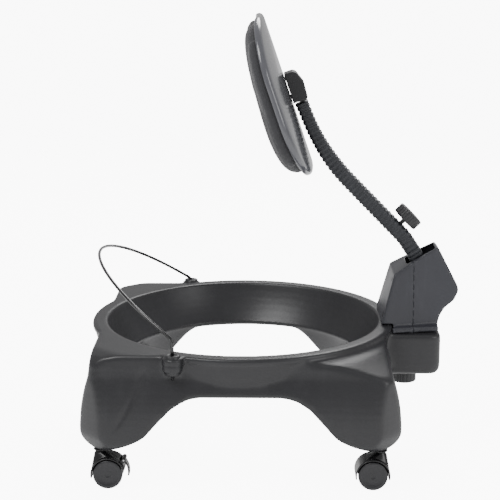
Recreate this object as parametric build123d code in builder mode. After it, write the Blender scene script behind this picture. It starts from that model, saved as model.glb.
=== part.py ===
from build123d import *
import os
from math import cos, degrees, hypot, radians, sin, sqrt

# Chair frame for an exercise ball: a moulded ring on four casters, a wire retaining bar,
# and a backrest on a bent flat stem.  Millimetres.
# Origin on the floor on the ring's axis, +X to the back of the chair, +Z up.

# ---- driving dimensions: base moulding -------------------------------------------
ball_radius = 260.0        # the ball that the ring holds
ball_clearance = 1.5
rim_radius = 247.0         # where the ball meets the rim
rim_top = 234.0
rim_outer = 275.0
ring_bottom = 154.5
ledge_radius = 210.0       # bead at the foot of the cup wall
foot_reach = 273.0         # outer face of a foot, from the axis
shoulder_reach = 252.0     # outer face of a leg at the rim
foot_bottom = 66.0
arch_crown = 162.5
ledge_top = 160.5          # where the cup wall ends
frame_wall = 4.0           # blow-moulded wall
shelf_end = 356.0
shelf_half_width = 73.0
shelf_top = 219.5
shelf_bottom = 142.5

# ---- casters -----------------------------------------------------------------------
caster_axis = 237.0        # stem axis from the centre lines, both ways
caster_trail = 13.0
wheel_radius = 25.0
wheel_width = 11.5
wheel_inner_face = 10.0
fender_gap = 2.0
fender_wall = 2.5
stem_radius = 5.5
swivel_radius = 4.0
axle_radius = 3.0
running_fit = 0.05         # radial, on every turning pin
seat_gap = 0.3             # between flat faces that slide or turn
socket_wall = 1.5
socket_depth = 38.0
socket_flange = 2.0

# ---- retaining bar -----------------------------------------------------------------
bar_radius = 2.75
bar_hole_x = -111.5
bar_hole_y = 261.5
bar_near_bend = 264.0      # the bar sits a little higher on the sitter's left
bar_far_bend = 239.3
bar_crest_x = -259.6
bar_crest_z = 357.3
bar_stub = 69.0
bar_far_stub = 48.0
bar_hole_fit = 0.3
boss_radius = 17.0
boss_bottom = 203.5
boss_steps = (7.0, 8.0, 13.5, 2.0)   # heights of its rings, from below
grommet_radius = 4.6
grommet_flange_radius = 6.0
grommet_flange = 1.5

# ---- stem ----------------------------------------------------------------------------
stem_slope_low = 57.0      # degrees from the floor, inside the housing
stem_slope_mid = 45.6
stem_slope_top = 67.2
stem_low_bend = (291.5, 382.3)
stem_low_radius = 60.0
stem_top_radius = 360.0
stem_foot_length = 117.0   # from the low bend to the bar's end
sleeve_thickness = 26.5
sleeve_width = 44.0
sleeve_wall = 2.0
sleeve_foot_length = 40.0
bar_thickness = 5.0
bar_width = 32.0
bar_gap = 0.2              # between the two sliding bars
slide_travel = 35.0
guide_wall = 2.4
guide_fit = 0.15
guide_length = 26.0
strap_length = 12.0
strap_lift = 62.0          # strap centre above the knob, along the stem

# ---- height knob and base knob ---------------------------------------------------------
knob_lift = 23.6           # knob axis above the low bend, along the stem
knob_radius = 25.0
knob_thickness = 19.0
knob_standoff = 31.3       # knob centre from the stem's middle line
knob_grooves = 14
knob_groove_radius = 2.2
knob_stud_radius = 4.0
base_knob_x = 296.0
base_knob_radius = 23.5
base_knob_bottom = 112.5
base_knob_height = 19.0
base_stud_radius = 5.0

# ---- bracket housing and core ------------------------------------------------------------
housing_wall = 3.0
housing_seam_x = 306.0
housing_flange_half = 69.0
housing_flange_rear = 54.0
housing_flange_top = 11.0
housing_front_half = 62.0  # upper body: at its foot in front,
housing_top_half = 50.0    # at its top in front,
housing_rear_half = 27.0   # and at its top behind
slot_front = 296.0
slot_rear = 344.5
slot_half = 23.0
core_plate = 5.0
core_width = 40.0
core_front = 277.0

# ---- backrest ------------------------------------------------------------------------------
back_lean = 18.9           # degrees forward of upright
back_middle = (81.0, 647.5)
back_half_length = 142.5
back_half_width = 182.0
back_corner = 112.0
back_wrap_radius = 900.0
shell_depth = 12.0
shell_skin = 4.0
pad_border = 9.0           # shell edge that shows round the pad
pad_gap = 1.5
pad_crown = 27.0           # cushion's depth at its middle
pad_foot = 24.0            # and at its lower edge
board_border = 22.0
board_gap = 0.4
mount_pad_rise = 1.0
pivot_standoff = 12.5
pivot_rise = 4.5
pivot_radius = 4.0
eye_radius = 8.0
bush_wall = 1.5
bush_flange = 1.0
bracket_plate = 2.5
bracket_half_width = 20.0
bracket_half_length = 24.0
cover_half_width = 25.0
cover_wall = 2.3
cover_drop = 26.0          # cover's lower edge below the pivot, along the stem
sleeve_drop = 30.5         # sleeve's upper end below the pivot


# ---- geometry that several pieces share ------------------------------------------------------
def along(slope):
    """Unit step up the stem at a slope, in the side plane."""
    return -cos(radians(slope)), sin(radians(slope))


def off(slope):
    """Unit step square to the stem, towards the back of the chair."""
    return sin(radians(slope)), cos(radians(slope))


def step(point, direction, distance):
    return point[0] + direction[0] * distance, point[1] + direction[1] * distance


def space(point, y=0.0):
    return point[0], y, point[1]


def frame_at(point, slope, offset=0.0):
    """Plane square to the stem's flat face: its normal points off the stem to the back."""
    n = off(slope)
    u = along(slope)
    return Plane(origin=space(step(point, n, offset)), x_dir=space(u), z_dir=space(n))


back_up = (-sin(radians(back_lean)), cos(radians(back_lean)))
back_out = (cos(radians(back_lean)), sin(radians(back_lean)))
pivot = step(step(back_middle, back_out, pivot_standoff), back_up, pivot_rise)


def stem_corner():
    """Where the middle run meets the top run, which ends at the pivot."""
    dx = pivot[0] - stem_low_bend[0]
    dz = pivot[1] - stem_low_bend[1]
    mid = along(stem_slope_mid)
    top = along(stem_slope_top)
    run = (dx * top[1] - dz * top[0]) / (mid[0] * top[1] - mid[1] * top[0])
    return step(stem_low_bend, mid, run)


stem_top_bend = stem_corner()
knob_foot = step(stem_low_bend, along(stem_slope_mid), knob_lift)


def strip_part(points, radii, thickness, width):
    """Flat bar that follows a side-plane line through the points."""
    with BuildPart() as strip:
        with BuildSketch(Plane.XZ) as _:
            with BuildLine() as _:
                if radii:
                    FilletPolyline(*points, radius=radii)
                else:
                    Line(*points)
            trace(line_width=thickness)
        extrude(amount=width / 2, both=True)
    return strip.part


def beside(points, slopes, distance):
    """The same line moved square to itself, keeping its runs parallel."""
    moved = [step(points[0], off(slopes[0]), distance)]
    for corner, before, after in zip(points[1:-1], slopes, slopes[1:]):
        half = radians(after - before) / 2
        moved.append(step(corner, off((before + after) / 2), distance / cos(half)))
    moved.append(step(points[-1], off(slopes[-1]), distance))
    return moved


def save(piece, name):
    piece.label = name
    export_step(piece, f"parts/{name}.step")


os.makedirs("parts", exist_ok=True)

# ---- base moulding --------------------------------------------------------------------------
cup_radius = ball_radius + ball_clearance
ball_centre = rim_top + sqrt(ball_radius**2 - rim_radius**2)


def cup_at(z):
    return sqrt(cup_radius**2 - (ball_centre - z) ** 2)


def leg_view(inset):
    """Side view of the base without its ring: two legs and the arch between them."""
    reach, top = foot_reach, rim_top
    with BuildSketch() as view:
        with BuildLine() as _:
            Line((shoulder_reach, top), (shoulder_reach + 4, top - 40))
            ThreePointArc((shoulder_reach + 4, top - 40), (reach - 5, top - 84), (reach, 98))
            ThreePointArc((reach, 98), (reach - 5, foot_bottom + 11), (reach - 26, foot_bottom))
            Line((reach - 26, foot_bottom), (reach - 44, foot_bottom))
            ThreePointArc((reach - 44, foot_bottom), (196, 76), (160, 95))
            Line((160, 95), (127, 132))
            ThreePointArc((127, 132), (103, 152), (70, arch_crown))
            Line((70, arch_crown), (-inset, arch_crown))
            Line((-inset, arch_crown), (-inset, top))
            Line((-inset, top), (shoulder_reach, top))
        make_face()
        if inset:
            offset(amount=-inset, kind=Kind.INTERSECTION)
        mirror(about=Plane.YZ)
    return view.sketch


def legs(inset):
    """Four legs at once, as what the side view and the end view share."""
    view = leg_view(inset)
    with BuildPart() as block:
        for plane, mode in ((Plane.XZ, Mode.ADD), (Plane.YZ, Mode.INTERSECT)):
            extrude(plane * view, amount=foot_reach + 10, both=True, mode=mode)
        with BuildSketch(Plane.XZ) as _:
            Polygon(
                (0, foot_bottom + inset), (345 - inset, foot_bottom + inset), (360 - inset, 95),
                (356 - inset, 185), (350 - inset, 219), (338 - inset, rim_top - 5 - inset),
                (320 - inset, rim_top - inset), (0, rim_top - inset), align=None,
            )
        revolve(axis=Axis.Z, mode=Mode.INTERSECT)
        with BuildSketch(Plane(origin=(0, 0, 0), x_dir=(0, -1, 0), z_dir=(-1, 0, 0))) as _:
            Polygon(
                (262, 300), (262, 225 - inset), (300, 217 - inset), (345, 197 - inset),
                (400, 165 - inset), (400, 300), align=None,
            )
        revolve(axis=Axis.Z, revolution_arc=180, mode=Mode.SUBTRACT)
    return block.part


def ring(inset):
    """The ring before the cup is sunk into it."""
    with BuildPart() as hoop:
        with BuildSketch(Plane.XZ) as _:
            with BuildLine() as _:
                ThreePointArc((237, ring_bottom), (259, 183), (rim_outer - 4, rim_top - 13))
                Polyline(
                    (rim_outer - 4, rim_top - 13), (rim_outer, rim_top - 9), (rim_outer, rim_top - 3),
                    (rim_outer - 3, rim_top), (190, rim_top), (190, ring_bottom), (237, ring_bottom),
                )
            make_face()
            if inset:
                offset(amount=-inset, kind=Kind.INTERSECTION)
        revolve(axis=Axis.Z)
    return hoop.part


def shelf(inset):
    """Ledge behind the ring that carries the backrest bracket."""
    with BuildPart() as ledge:
        with BuildSketch(Plane.XY.offset(shelf_bottom + inset)) as plan:
            with Locations(((shelf_end + 200) / 2, 0)):
                RectangleRounded(shelf_end - 200, 2 * shelf_half_width, 18)
            if inset:
                offset(amount=-inset)
        extrude(amount=shelf_top - shelf_bottom - 2 * inset)
        fillet(ledge.faces().sort_by(Axis.Z)[0].edges(), 15 - inset)
    return ledge.part


def underside(inset):
    """Round space inside the ring: the cup, the ledge and the hollow between the legs."""
    with BuildPart() as space_inside:
        with BuildSketch(Plane.XZ) as _:
            top = rim_top + 6
            with BuildLine() as _:
                ThreePointArc((cup_at(top), top), (cup_at(195), 195), (cup_at(ledge_top), ledge_top))
                Polyline(
                    (cup_at(ledge_top), ledge_top), (ledge_radius + 6, ring_bottom + 2),
                    (236, 115), (268, foot_bottom), (275, 50), (0, 50), (0, top), (cup_at(top), top),
                )
            make_face()
            if inset:
                offset(amount=inset, kind=Kind.INTERSECTION)
                Rectangle(20, 4 * rim_top, align=(Align.MAX, Align.CENTER), mode=Mode.SUBTRACT)
        revolve(axis=Axis.Z)
    return space_inside.part


def frame_form(inset):
    with BuildPart() as form:
        add(legs(inset))
        add(ring(inset))
        add(shelf(inset))
        add(underside(inset), mode=Mode.SUBTRACT)
    return form.part


corners = [(x, y) for x in (-caster_axis, caster_axis) for y in (-caster_axis, caster_axis)]
bar_holes = [(bar_hole_x, -bar_hole_y), (bar_hole_x, bar_hole_y)]
socket_radius = stem_radius + socket_wall


def frame_hollow():
    """Inside of the moulding, less the solid posts round each fastening."""
    with BuildPart() as hollow:
        add(frame_form(frame_wall))
        with BuildSketch(Plane.XY) as _:
            with Locations(*corners):
                Circle(socket_radius + frame_wall)
            with Locations((base_knob_x, 0)):
                Circle(base_stud_radius + 2 * frame_wall)
            with Locations(*bar_holes):
                Circle(boss_radius)
        extrude(amount=rim_top, mode=Mode.SUBTRACT)
    return hollow.part


with BuildPart() as base_frame:
    add(frame_form(0))
    level = boss_bottom
    for height, narrower in zip(boss_steps, (4, 2, 0, 1)):
        with BuildSketch(Plane.XY.offset(level)) as _:
            with Locations(*bar_holes):
                Circle(boss_radius - narrower)
        extrude(amount=height)
        level += height
    add(frame_hollow(), mode=Mode.SUBTRACT)
    with Locations(*[Plane((x, y, foot_bottom), z_dir=(0, 0, -1)) for x, y in corners]):
        Hole(socket_radius, depth=socket_depth)
    with Locations(*[Plane((x, y, rim_top)) for x, y in bar_holes]):
        Hole(grommet_radius, depth=rim_top - boss_bottom)
    with Locations(Plane((base_knob_x, 0, shelf_top))):
        Hole(base_stud_radius + bar_hole_fit, depth=shelf_top - shelf_bottom)
save(base_frame.part, "base_frame")

with BuildPart() as caster_sockets:
    for x, y in corners:
        with Locations((x, y, foot_bottom - socket_flange)):
            Cylinder(socket_radius + 5, socket_flange, align=(Align.CENTER, Align.CENTER, Align.MIN))
            Cylinder(
                socket_radius, socket_flange + socket_depth,
                align=(Align.CENTER, Align.CENTER, Align.MIN),
            )
            Cylinder(
                stem_radius, socket_flange + socket_depth, mode=Mode.SUBTRACT,
                align=(Align.CENTER, Align.CENTER, Align.MIN),
            )
save(caster_sockets.part, "caster_sockets")

# ---- retaining bar ------------------------------------------------------------------------------
with BuildPart() as retaining_bar:
    near_bend = (bar_hole_x, -bar_hole_y, bar_near_bend)
    far_bend = (bar_hole_x, bar_hole_y, bar_far_bend)
    with BuildLine() as crest:
        ThreePointArc(near_bend, (bar_crest_x, 0, bar_crest_z), far_bend)
    with BuildSketch(Plane(origin=near_bend, z_dir=crest.edge() % 0)) as _:
        Circle(bar_radius)
    sweep(path=crest.edge())
    for bend, stub in ((near_bend, bar_stub), (far_bend, bar_far_stub)):
        with Locations(bend):
            Sphere(bar_radius)
            Cylinder(bar_radius, stub, align=(Align.CENTER, Align.CENTER, Align.MAX))
save(retaining_bar.part, "retaining_bar")

with BuildPart() as bar_grommets:
    for x, y in bar_holes:
        with Locations((x, y, rim_top)):
            Cylinder(
                grommet_flange_radius, grommet_flange, align=(Align.CENTER, Align.CENTER, Align.MIN)
            )
            Cylinder(
                grommet_radius, rim_top - boss_bottom, align=(Align.CENTER, Align.CENTER, Align.MAX)
            )
            Cylinder(bar_radius + bar_hole_fit, 3 * (rim_top - boss_bottom), mode=Mode.SUBTRACT)
save(bar_grommets.part, "bar_grommets")

# ---- casters ----------------------------------------------------------------------------------------
collar_top = foot_bottom - socket_flange - 1.5
collar_radius = 8.5
web_half = 4.0
hood_half = wheel_inner_face + wheel_width
lever_angle = 40.0
lever_reach = wheel_radius + fender_gap + fender_wall + 5
lever_hub = 4.0
lever_half = 8.0
lever_pin_radius = 1.5


def caster_plane(x, y, heading):
    """Floor plane on a caster's stem axis, its x towards the wheel."""
    return Plane(origin=(x, y, 0), x_dir=(heading, 0, 0), z_dir=(0, 0, 1))


def side_of(plane):
    """Upright plane through the caster, looking along its axle."""
    return Plane(origin=plane.origin, x_dir=plane.x_dir, z_dir=-plane.y_dir)


def caster_stem(plane):
    with BuildPart() as stem:
        with BuildSketch(plane.offset(collar_top + 0.2)) as _:
            Circle(stem_radius + 2.5)
        extrude(amount=foot_bottom - socket_flange - collar_top - 0.2)
        with BuildSketch(plane.offset(collar_top + 0.2)) as _:
            Circle(stem_radius)
        extrude(amount=socket_depth)
        with BuildSketch(plane.offset(collar_top + 0.2)) as _:
            Circle(swivel_radius)
        extrude(amount=-24)
    return stem.part


def lever_pivot(wheel, reach=lever_reach):
    return step(wheel, (cos(radians(lever_angle)), sin(radians(lever_angle))), reach)


def caster_hood(plane, braked):
    """Swivelling body: collar, web between the wheels and fender over them."""
    side = side_of(plane)
    wheel = (caster_trail, wheel_radius)
    inner = wheel_radius + fender_gap
    outer = inner + fender_wall
    below = (Align.CENTER, Align.MAX)
    with BuildPart() as hood:
        with BuildSketch(side) as _:
            with Locations(wheel):
                Circle(outer)
                Circle(inner, mode=Mode.SUBTRACT)
            with Locations((wheel[0], wheel[1] - 6)):
                Rectangle(3 * outer, outer, align=below, mode=Mode.SUBTRACT)
            if braked:
                with Locations((wheel[0] + outer, wheel[1] + 9)):
                    Rectangle(outer, outer, align=below, mode=Mode.SUBTRACT)
        extrude(amount=hood_half, both=True)
        with BuildSketch(side) as _:
            with Locations(wheel):
                Circle(inner + fender_wall / 2)
            with Locations((wheel[0], wheel[1])):
                Rectangle(3 * outer, 2 * outer, align=below, mode=Mode.SUBTRACT)
            if braked:
                with Locations((wheel[0] + outer, wheel[1] + 12)):
                    Rectangle(outer + 6, outer, align=below, mode=Mode.SUBTRACT)
            with Locations(wheel):
                Circle(axle_radius + 4)
        extrude(amount=web_half, both=True)
        with BuildSketch(side) as _:
            with Locations(wheel):
                Circle(axle_radius + 4)
        extrude(amount=wheel_inner_face - seat_gap, both=True)
        with BuildSketch(plane.offset(collar_top - 26)) as _:
            Circle(collar_radius)
        extrude(amount=26)
        if braked:
            with BuildSketch(side) as _:
                with Locations(lever_pivot(wheel)):
                    Circle(lever_hub)
                with Locations(lever_pivot(wheel, outer)):
                    Circle(lever_hub)
                with Locations(wheel):
                    Circle(inner + 0.1, mode=Mode.SUBTRACT)
            extrude(amount=lever_half + 3.5, both=True)
            with BuildSketch(side) as _:
                with Locations(wheel):
                    Circle(lever_reach + lever_hub + 5)
                    Circle(outer - 0.3, mode=Mode.SUBTRACT)
                    Rectangle(3 * outer, 3 * outer, align=(Align.MAX, Align.CENTER), mode=Mode.SUBTRACT)
            extrude(amount=lever_half + seat_gap, both=True, mode=Mode.SUBTRACT)
            with BuildSketch(side) as _:
                with Locations(lever_pivot(wheel)):
                    Circle(lever_pin_radius)
            extrude(amount=lever_half + 4, both=True, mode=Mode.SUBTRACT)
        with BuildSketch(side) as _:
            with Locations(wheel):
                Circle(axle_radius)
        extrude(amount=hood_half, both=True, mode=Mode.SUBTRACT)
        with BuildSketch(plane.offset(collar_top)) as _:
            Circle(swivel_radius + running_fit)
        extrude(amount=-24.5, mode=Mode.SUBTRACT)
    return hood.part


def caster_axle(plane):
    with BuildPart() as axle:
        with BuildSketch(side_of(plane)) as _:
            with Locations((caster_trail, wheel_radius)):
                Circle(axle_radius)
        extrude(amount=hood_half - 2.5, both=True)
    return axle.part


def caster_wheel(plane, side_sign):
    """One wheel, bored from inside, with its plain face outwards."""
    face = side_of(plane).offset(side_sign * wheel_inner_face)
    with BuildPart() as wheel:
        with BuildSketch(face) as _:
            with Locations((caster_trail, wheel_radius)):
                Circle(wheel_radius)
        extrude(amount=side_sign * wheel_width)
        fillet(wheel.edges().filter_by(GeomType.CIRCLE), 1.6)
        with BuildSketch(face) as _:
            with Locations((caster_trail, wheel_radius)):
                Circle(wheel_radius - 4.5)
                Circle(axle_radius + 3.5, mode=Mode.SUBTRACT)
        extrude(amount=side_sign * (wheel_width - 3.5), mode=Mode.SUBTRACT)
        with BuildSketch(face) as _:
            with Locations((caster_trail, wheel_radius)):
                Circle(axle_radius + running_fit)
        extrude(amount=side_sign * (wheel_width - 2.2), mode=Mode.SUBTRACT)
    return wheel.part


def brake_lever(plane):
    """Curved tab outside the fender, on a pin between the hood's lugs."""
    side = side_of(plane)
    wheel = (caster_trail, wheel_radius)
    tab = lever_reach - 1.5
    with BuildPart() as lever:
        with BuildSketch(side) as _:
            with Locations(wheel):
                Circle(tab + 3)
                Circle(tab, mode=Mode.SUBTRACT)
            with Locations(wheel):
                Rectangle(3 * tab, 3 * tab, align=(Align.MAX, Align.CENTER), mode=Mode.SUBTRACT)
            with Locations((wheel[0], lever_pivot(wheel)[1])):
                Rectangle(3 * tab, 3 * tab, align=(Align.CENTER, Align.MIN), mode=Mode.SUBTRACT)
            with Locations((wheel[0], wheel[1] - 14)):
                Rectangle(3 * tab, 3 * tab, align=(Align.CENTER, Align.MAX), mode=Mode.SUBTRACT)
            with Locations(lever_pivot(wheel)):
                Circle(lever_hub)
            with Locations((wheel[0] + tab + 3, wheel[1] - 11)):
                Rectangle(9, 3, rotation=-35)
        extrude(amount=lever_half, both=True)
        with BuildSketch(side) as _:
            with Locations(lever_pivot(wheel)):
                Circle(lever_pin_radius + running_fit)
        extrude(amount=lever_half, both=True, mode=Mode.SUBTRACT)
    return lever.part


def lever_pin(plane):
    with BuildPart() as pin:
        with BuildSketch(side_of(plane)) as _:
            with Locations(lever_pivot((caster_trail, wheel_radius))):
                Circle(lever_pin_radius)
        extrude(amount=lever_half + 3.5, both=True)
    return pin.part


for x, y in corners:
    place = ("front" if x < 0 else "rear") + ("_left" if y < 0 else "_right")
    ground = caster_plane(x, y, 1 if x < 0 else -1)
    save(caster_stem(ground), f"caster_stem_{place}")
    save(caster_hood(ground, braked=x < 0), f"caster_hood_{place}")
    save(caster_axle(ground), f"caster_axle_{place}")
    save(caster_wheel(ground, 1), f"wheel_{place}_{'outer' if x * y > 0 else 'inner'}")
    save(caster_wheel(ground, -1), f"wheel_{place}_{'inner' if x * y > 0 else 'outer'}")
    if x < 0:
        save(brake_lever(ground), f"brake_lever_{place}")
        save(lever_pin(ground), f"brake_pin_{place}")

# ---- stem -----------------------------------------------------------------------------------------------
bolt_places = (34.0, 60.0)
slopes = (stem_slope_low, stem_slope_mid, stem_slope_top)
down_low = (-along(stem_slope_low)[0], -along(stem_slope_low)[1])
stem_line = [step(stem_low_bend, down_low, stem_foot_length), stem_low_bend, stem_top_bend, pivot]
half_stack = (bar_thickness + bar_gap) / 2
mid_up = along(stem_slope_mid)

lower_line = beside(stem_line, slopes, -half_stack)[:2]
lower_line.append(step(lower_line[1], mid_up, knob_lift + strap_lift + strap_length))
with BuildPart() as lower_bar:
    add(strip_part(lower_line, [stem_low_radius], bar_thickness, bar_width))
    for distance in bolt_places:
        with Locations(frame_at(step(stem_line[0], along(stem_slope_low), distance), stem_slope_low)):
            Hole(pivot_radius, depth=20)
save(lower_bar.part, "lower_bar")

upper_line = beside(stem_line, slopes, half_stack)
upper_start = step(step(knob_foot, mid_up, -10 - slide_travel), off(stem_slope_mid), half_stack)
eye_width = bar_width
upper_line = [upper_start, upper_line[2], step(upper_line[3], along(stem_slope_top), -6)]
with BuildPart() as upper_bar:
    add(strip_part(upper_line, [stem_top_radius], bar_thickness, bar_width))
    with BuildSketch(Plane.XZ) as _:
        with Locations(pivot):
            Circle(eye_radius)
    extrude(amount=eye_width / 2, both=True)
    with BuildSketch(Plane.XZ) as _:
        with Locations(pivot):
            Circle(pivot_radius + bush_wall)
    extrude(amount=eye_width, both=True, mode=Mode.SUBTRACT)
save(upper_bar.part, "upper_bar")


def guide(centre, length):
    """Welded loop that holds the upper bar against the lower bar."""
    inner_stack = 2 * bar_thickness + bar_gap + guide_fit
    with BuildPart() as loop:
        plane = frame_at(centre, stem_slope_mid)
        with BuildSketch(Plane(origin=plane.origin, x_dir=plane.y_dir, z_dir=plane.x_dir)) as _:
            with Locations((0, guide_fit / 2)):
                Rectangle(bar_width + 2 * guide_fit + 2 * guide_wall, inner_stack + 2 * guide_wall)
                Rectangle(bar_width + 2 * guide_fit, inner_stack, mode=Mode.SUBTRACT)
        extrude(amount=length / 2, both=True)
    return loop.part


stud_plane = frame_at(knob_foot, stem_slope_mid)
with BuildPart() as guide_channel:
    add(guide(knob_foot, guide_length))
    with BuildSketch(stud_plane.offset(bar_thickness + bar_gap)) as _:
        Circle(knob_stud_radius + running_fit)
    extrude(amount=20, mode=Mode.SUBTRACT)
save(guide_channel.part, "guide_channel")
save(guide(step(knob_foot, mid_up, strap_lift), strap_length), "guide_strap")

pad_top = bar_thickness + bar_gap / 2 + 1.5
with BuildPart() as clamp_pad:
    with BuildSketch(stud_plane.offset(bar_thickness + bar_gap / 2 + 0.05)) as _:
        Circle(knob_stud_radius - 0.5)
    extrude(amount=1.45)
save(clamp_pad.part, "clamp_pad")

with BuildPart() as height_knob_stud:
    with BuildSketch(stud_plane.offset(pad_top)) as _:
        Circle(knob_stud_radius)
    extrude(amount=knob_standoff - pad_top)
save(height_knob_stud.part, "height_knob_stud")


def ribbed_knob(plane, radius, thickness, bore):
    """Hand knob with finger grooves round its rim; the plane is its inner face."""
    with BuildPart() as knob:
        with BuildSketch(plane) as _:
            Circle(radius)
        extrude(amount=thickness)
        fillet(knob.edges(), 1.5)
        with BuildSketch(plane) as _:
            with PolarLocations(radius + 0.8, knob_grooves):
                Circle(knob_groove_radius)
        extrude(amount=thickness, mode=Mode.SUBTRACT)
        with BuildSketch(plane) as _:
            Circle(bore)
        extrude(amount=thickness / 2, mode=Mode.SUBTRACT)
    return knob.part


knob_face = stud_plane.offset(knob_standoff - knob_thickness / 2)
with BuildPart() as height_knob:
    add(ribbed_knob(knob_face, knob_radius, knob_thickness, knob_stud_radius))
save(height_knob.part, "height_knob")

with BuildPart() as bellows_sleeve:
    sleeve_end = step(stem_low_bend, down_low, sleeve_foot_length)
    sleeve_top = step(pivot, along(stem_slope_top), -sleeve_drop)
    sleeve_line = [sleeve_end, stem_low_bend, stem_top_bend, sleeve_top]
    sleeve_radii = [stem_low_radius, stem_top_radius]
    add(strip_part(sleeve_line, sleeve_radii, sleeve_thickness, sleeve_width))
    fillet(bellows_sleeve.edges().filter_by(Axis.Y, reverse=True).filter_by(
        lambda e: abs(abs(e.center().Y) - sleeve_width / 2) < 0.1 and e.length > sleeve_thickness + 1), 6)
    add(
        strip_part(
            [step(sleeve_end, down_low, 1), stem_low_bend, stem_top_bend,
             step(sleeve_top, along(stem_slope_top), 1)],
            sleeve_radii, sleeve_thickness - 2 * sleeve_wall, sleeve_width - 2 * sleeve_wall,
        ),
        mode=Mode.SUBTRACT,
    )
    with BuildSketch(stud_plane) as _:
        Circle(knob_stud_radius + 1.5)
    extrude(amount=knob_standoff, mode=Mode.SUBTRACT)
save(bellows_sleeve.part, "bellows_sleeve")

# ---- bracket under the stem ------------------------------------------------------------------------
core_slope = stem_slope_low
core_offset = -(half_stack + bar_thickness / 2 + core_plate / 2)
core_top = step(step(stem_line[0], along(core_slope), 73), off(core_slope), core_offset)
core_knee = step(step(stem_line[0], along(core_slope), 20), off(core_slope), core_offset)
core_line = [
    (core_front, shelf_top + core_plate / 2), (345.0, shelf_top + core_plate / 2), core_knee, core_top,
]
with BuildPart() as bracket_core:
    add(strip_part(core_line, [10, 12], core_plate, core_width))
    with Locations(Plane((base_knob_x, 0, shelf_top + core_plate))):
        Hole(base_stud_radius + bar_hole_fit, depth=core_plate)
    for distance in bolt_places:
        with Locations(frame_at(step(stem_line[0], along(core_slope), distance), core_slope)):
            Hole(pivot_radius, depth=20)
save(bracket_core.part, "bracket_core")


def bar_bolt(distance):
    """Bolt through the lower bar and the bracket, with its nut on the front."""
    grip = frame_at(step(stem_line[0], along(core_slope), distance), core_slope, -bar_gap / 2)
    with BuildPart() as bolt:
        with BuildSketch(grip) as _:
            Circle(7)
        extrude(amount=4.4)
        with BuildSketch(grip) as _:
            Circle(pivot_radius)
        extrude(amount=-(bar_thickness + core_plate + 9))
    with BuildPart() as nut:
        with BuildSketch(grip.offset(-(bar_thickness + core_plate))) as _:
            RegularPolygon(6.5, 6)
            Circle(pivot_radius, mode=Mode.SUBTRACT)
        extrude(amount=-6.5)
    return bolt.part, nut.part


bolt_pairs = [bar_bolt(distance) for distance in bolt_places]
with BuildPart() as bar_bolts:
    for bolt, _ in bolt_pairs:
        add(bolt)
save(bar_bolts.part, "bar_bolts")
with BuildPart() as bar_nuts:
    for _, nut in bolt_pairs:
        add(nut)
save(bar_nuts.part, "bar_nuts")

with BuildPart() as core_nut:
    with BuildSketch(Plane.XY.offset(shelf_top + core_plate)) as _:
        with Locations((base_knob_x, 0)):
            RegularPolygon(8.5, 6)
            Circle(base_stud_radius + running_fit, mode=Mode.SUBTRACT)
    extrude(amount=8)
save(core_nut.part, "core_nut")

base_knob_face = Plane(origin=(base_knob_x, 0, base_knob_bottom + base_knob_height), z_dir=(0, 0, -1))
washer_thickness = 2.0
with BuildPart() as base_knob:
    add(ribbed_knob(base_knob_face, base_knob_radius, base_knob_height, base_stud_radius))
    neck = shelf_bottom - washer_thickness - base_knob_bottom - base_knob_height
    with BuildSketch(base_knob_face) as _:
        Circle(12)
        Circle(base_stud_radius, mode=Mode.SUBTRACT)
    extrude(amount=-neck)
save(base_knob.part, "base_knob")

with BuildPart() as base_knob_stud:
    with BuildSketch(base_knob_face.offset(base_knob_height / 2)) as _:
        Circle(base_stud_radius)
    extrude(amount=-(shelf_top + core_plate + 10 - base_knob_face.origin.Z + base_knob_height / 2))
save(base_knob_stud.part, "base_knob_stud")

with BuildPart() as base_knob_washer:
    with BuildSketch(Plane.XY.offset(shelf_bottom - washer_thickness)) as _:
        with Locations((base_knob_x, 0)):
            Circle(14)
            Circle(base_stud_radius + bar_hole_fit, mode=Mode.SUBTRACT)
    extrude(amount=washer_thickness)
save(base_knob_washer.part, "base_knob_washer")


# ---- bracket housing ------------------------------------------------------------------------------------
housing_side = [
    (248.5, shelf_top), (248.5, 238), (270.5, 324.5), (348.6, 370.5), (354.2, 363.0), (388.7, 296.8),
    (390.8, 287.5), (382.4, 270.7), (364.8, 257.6), (356.2, 244.4), (352.4, 230.5), (352.4, shelf_top),
]
flange_plan = [
    (248.5, 0), (248.5, housing_flange_half - 12), (262, housing_flange_half),
    (352.4, housing_flange_rear), (352.4, 0),
]
# Three points of the near side of the upper body: along, across, up.
side_points = [
    (255.0, housing_front_half, 240.5), (270.0, housing_top_half, 331.5), (344.5, housing_rear_half, 366.5),
]


def side_wedge(inset):
    """Room between the two slanted sides of the upper body."""
    foot, crown, rear = [Vector(*point) for point in side_points]
    square = (crown - foot).cross(rear - foot).normalized()
    if square.Y < 0:
        square = -square
    near = Plane(origin=foot - square * inset, z_dir=square)
    with BuildPart() as wedge:
        with Locations((320, 0, 300)):
            Box(400, 300, 400)
        split(bisect_by=near, keep=Keep.BOTTOM)
    half = wedge.part
    with BuildPart() as both:
        add(half)
        add(half.mirror(Plane.XZ), mode=Mode.INTERSECT)
    return both.part


def housing_form(inset):
    with BuildPart() as flange:
        with BuildSketch(Plane.XY.offset(shelf_top)) as _:
            Polygon(*flange_plan, align=None)
            mirror(about=Plane.XZ)
            if inset:
                offset(amount=-inset, kind=Kind.INTERSECTION)
        extrude(amount=housing_flange_top - inset)
    with BuildPart() as form:
        with BuildSketch(Plane.XZ) as _:
            Polygon(*housing_side, align=None)
            if inset:
                offset(amount=-inset, kind=Kind.INTERSECTION)
        extrude(amount=housing_flange_half + 5, both=True)
        add(side_wedge(inset), mode=Mode.INTERSECT)
        add(flange.part)
    return form.part


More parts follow.
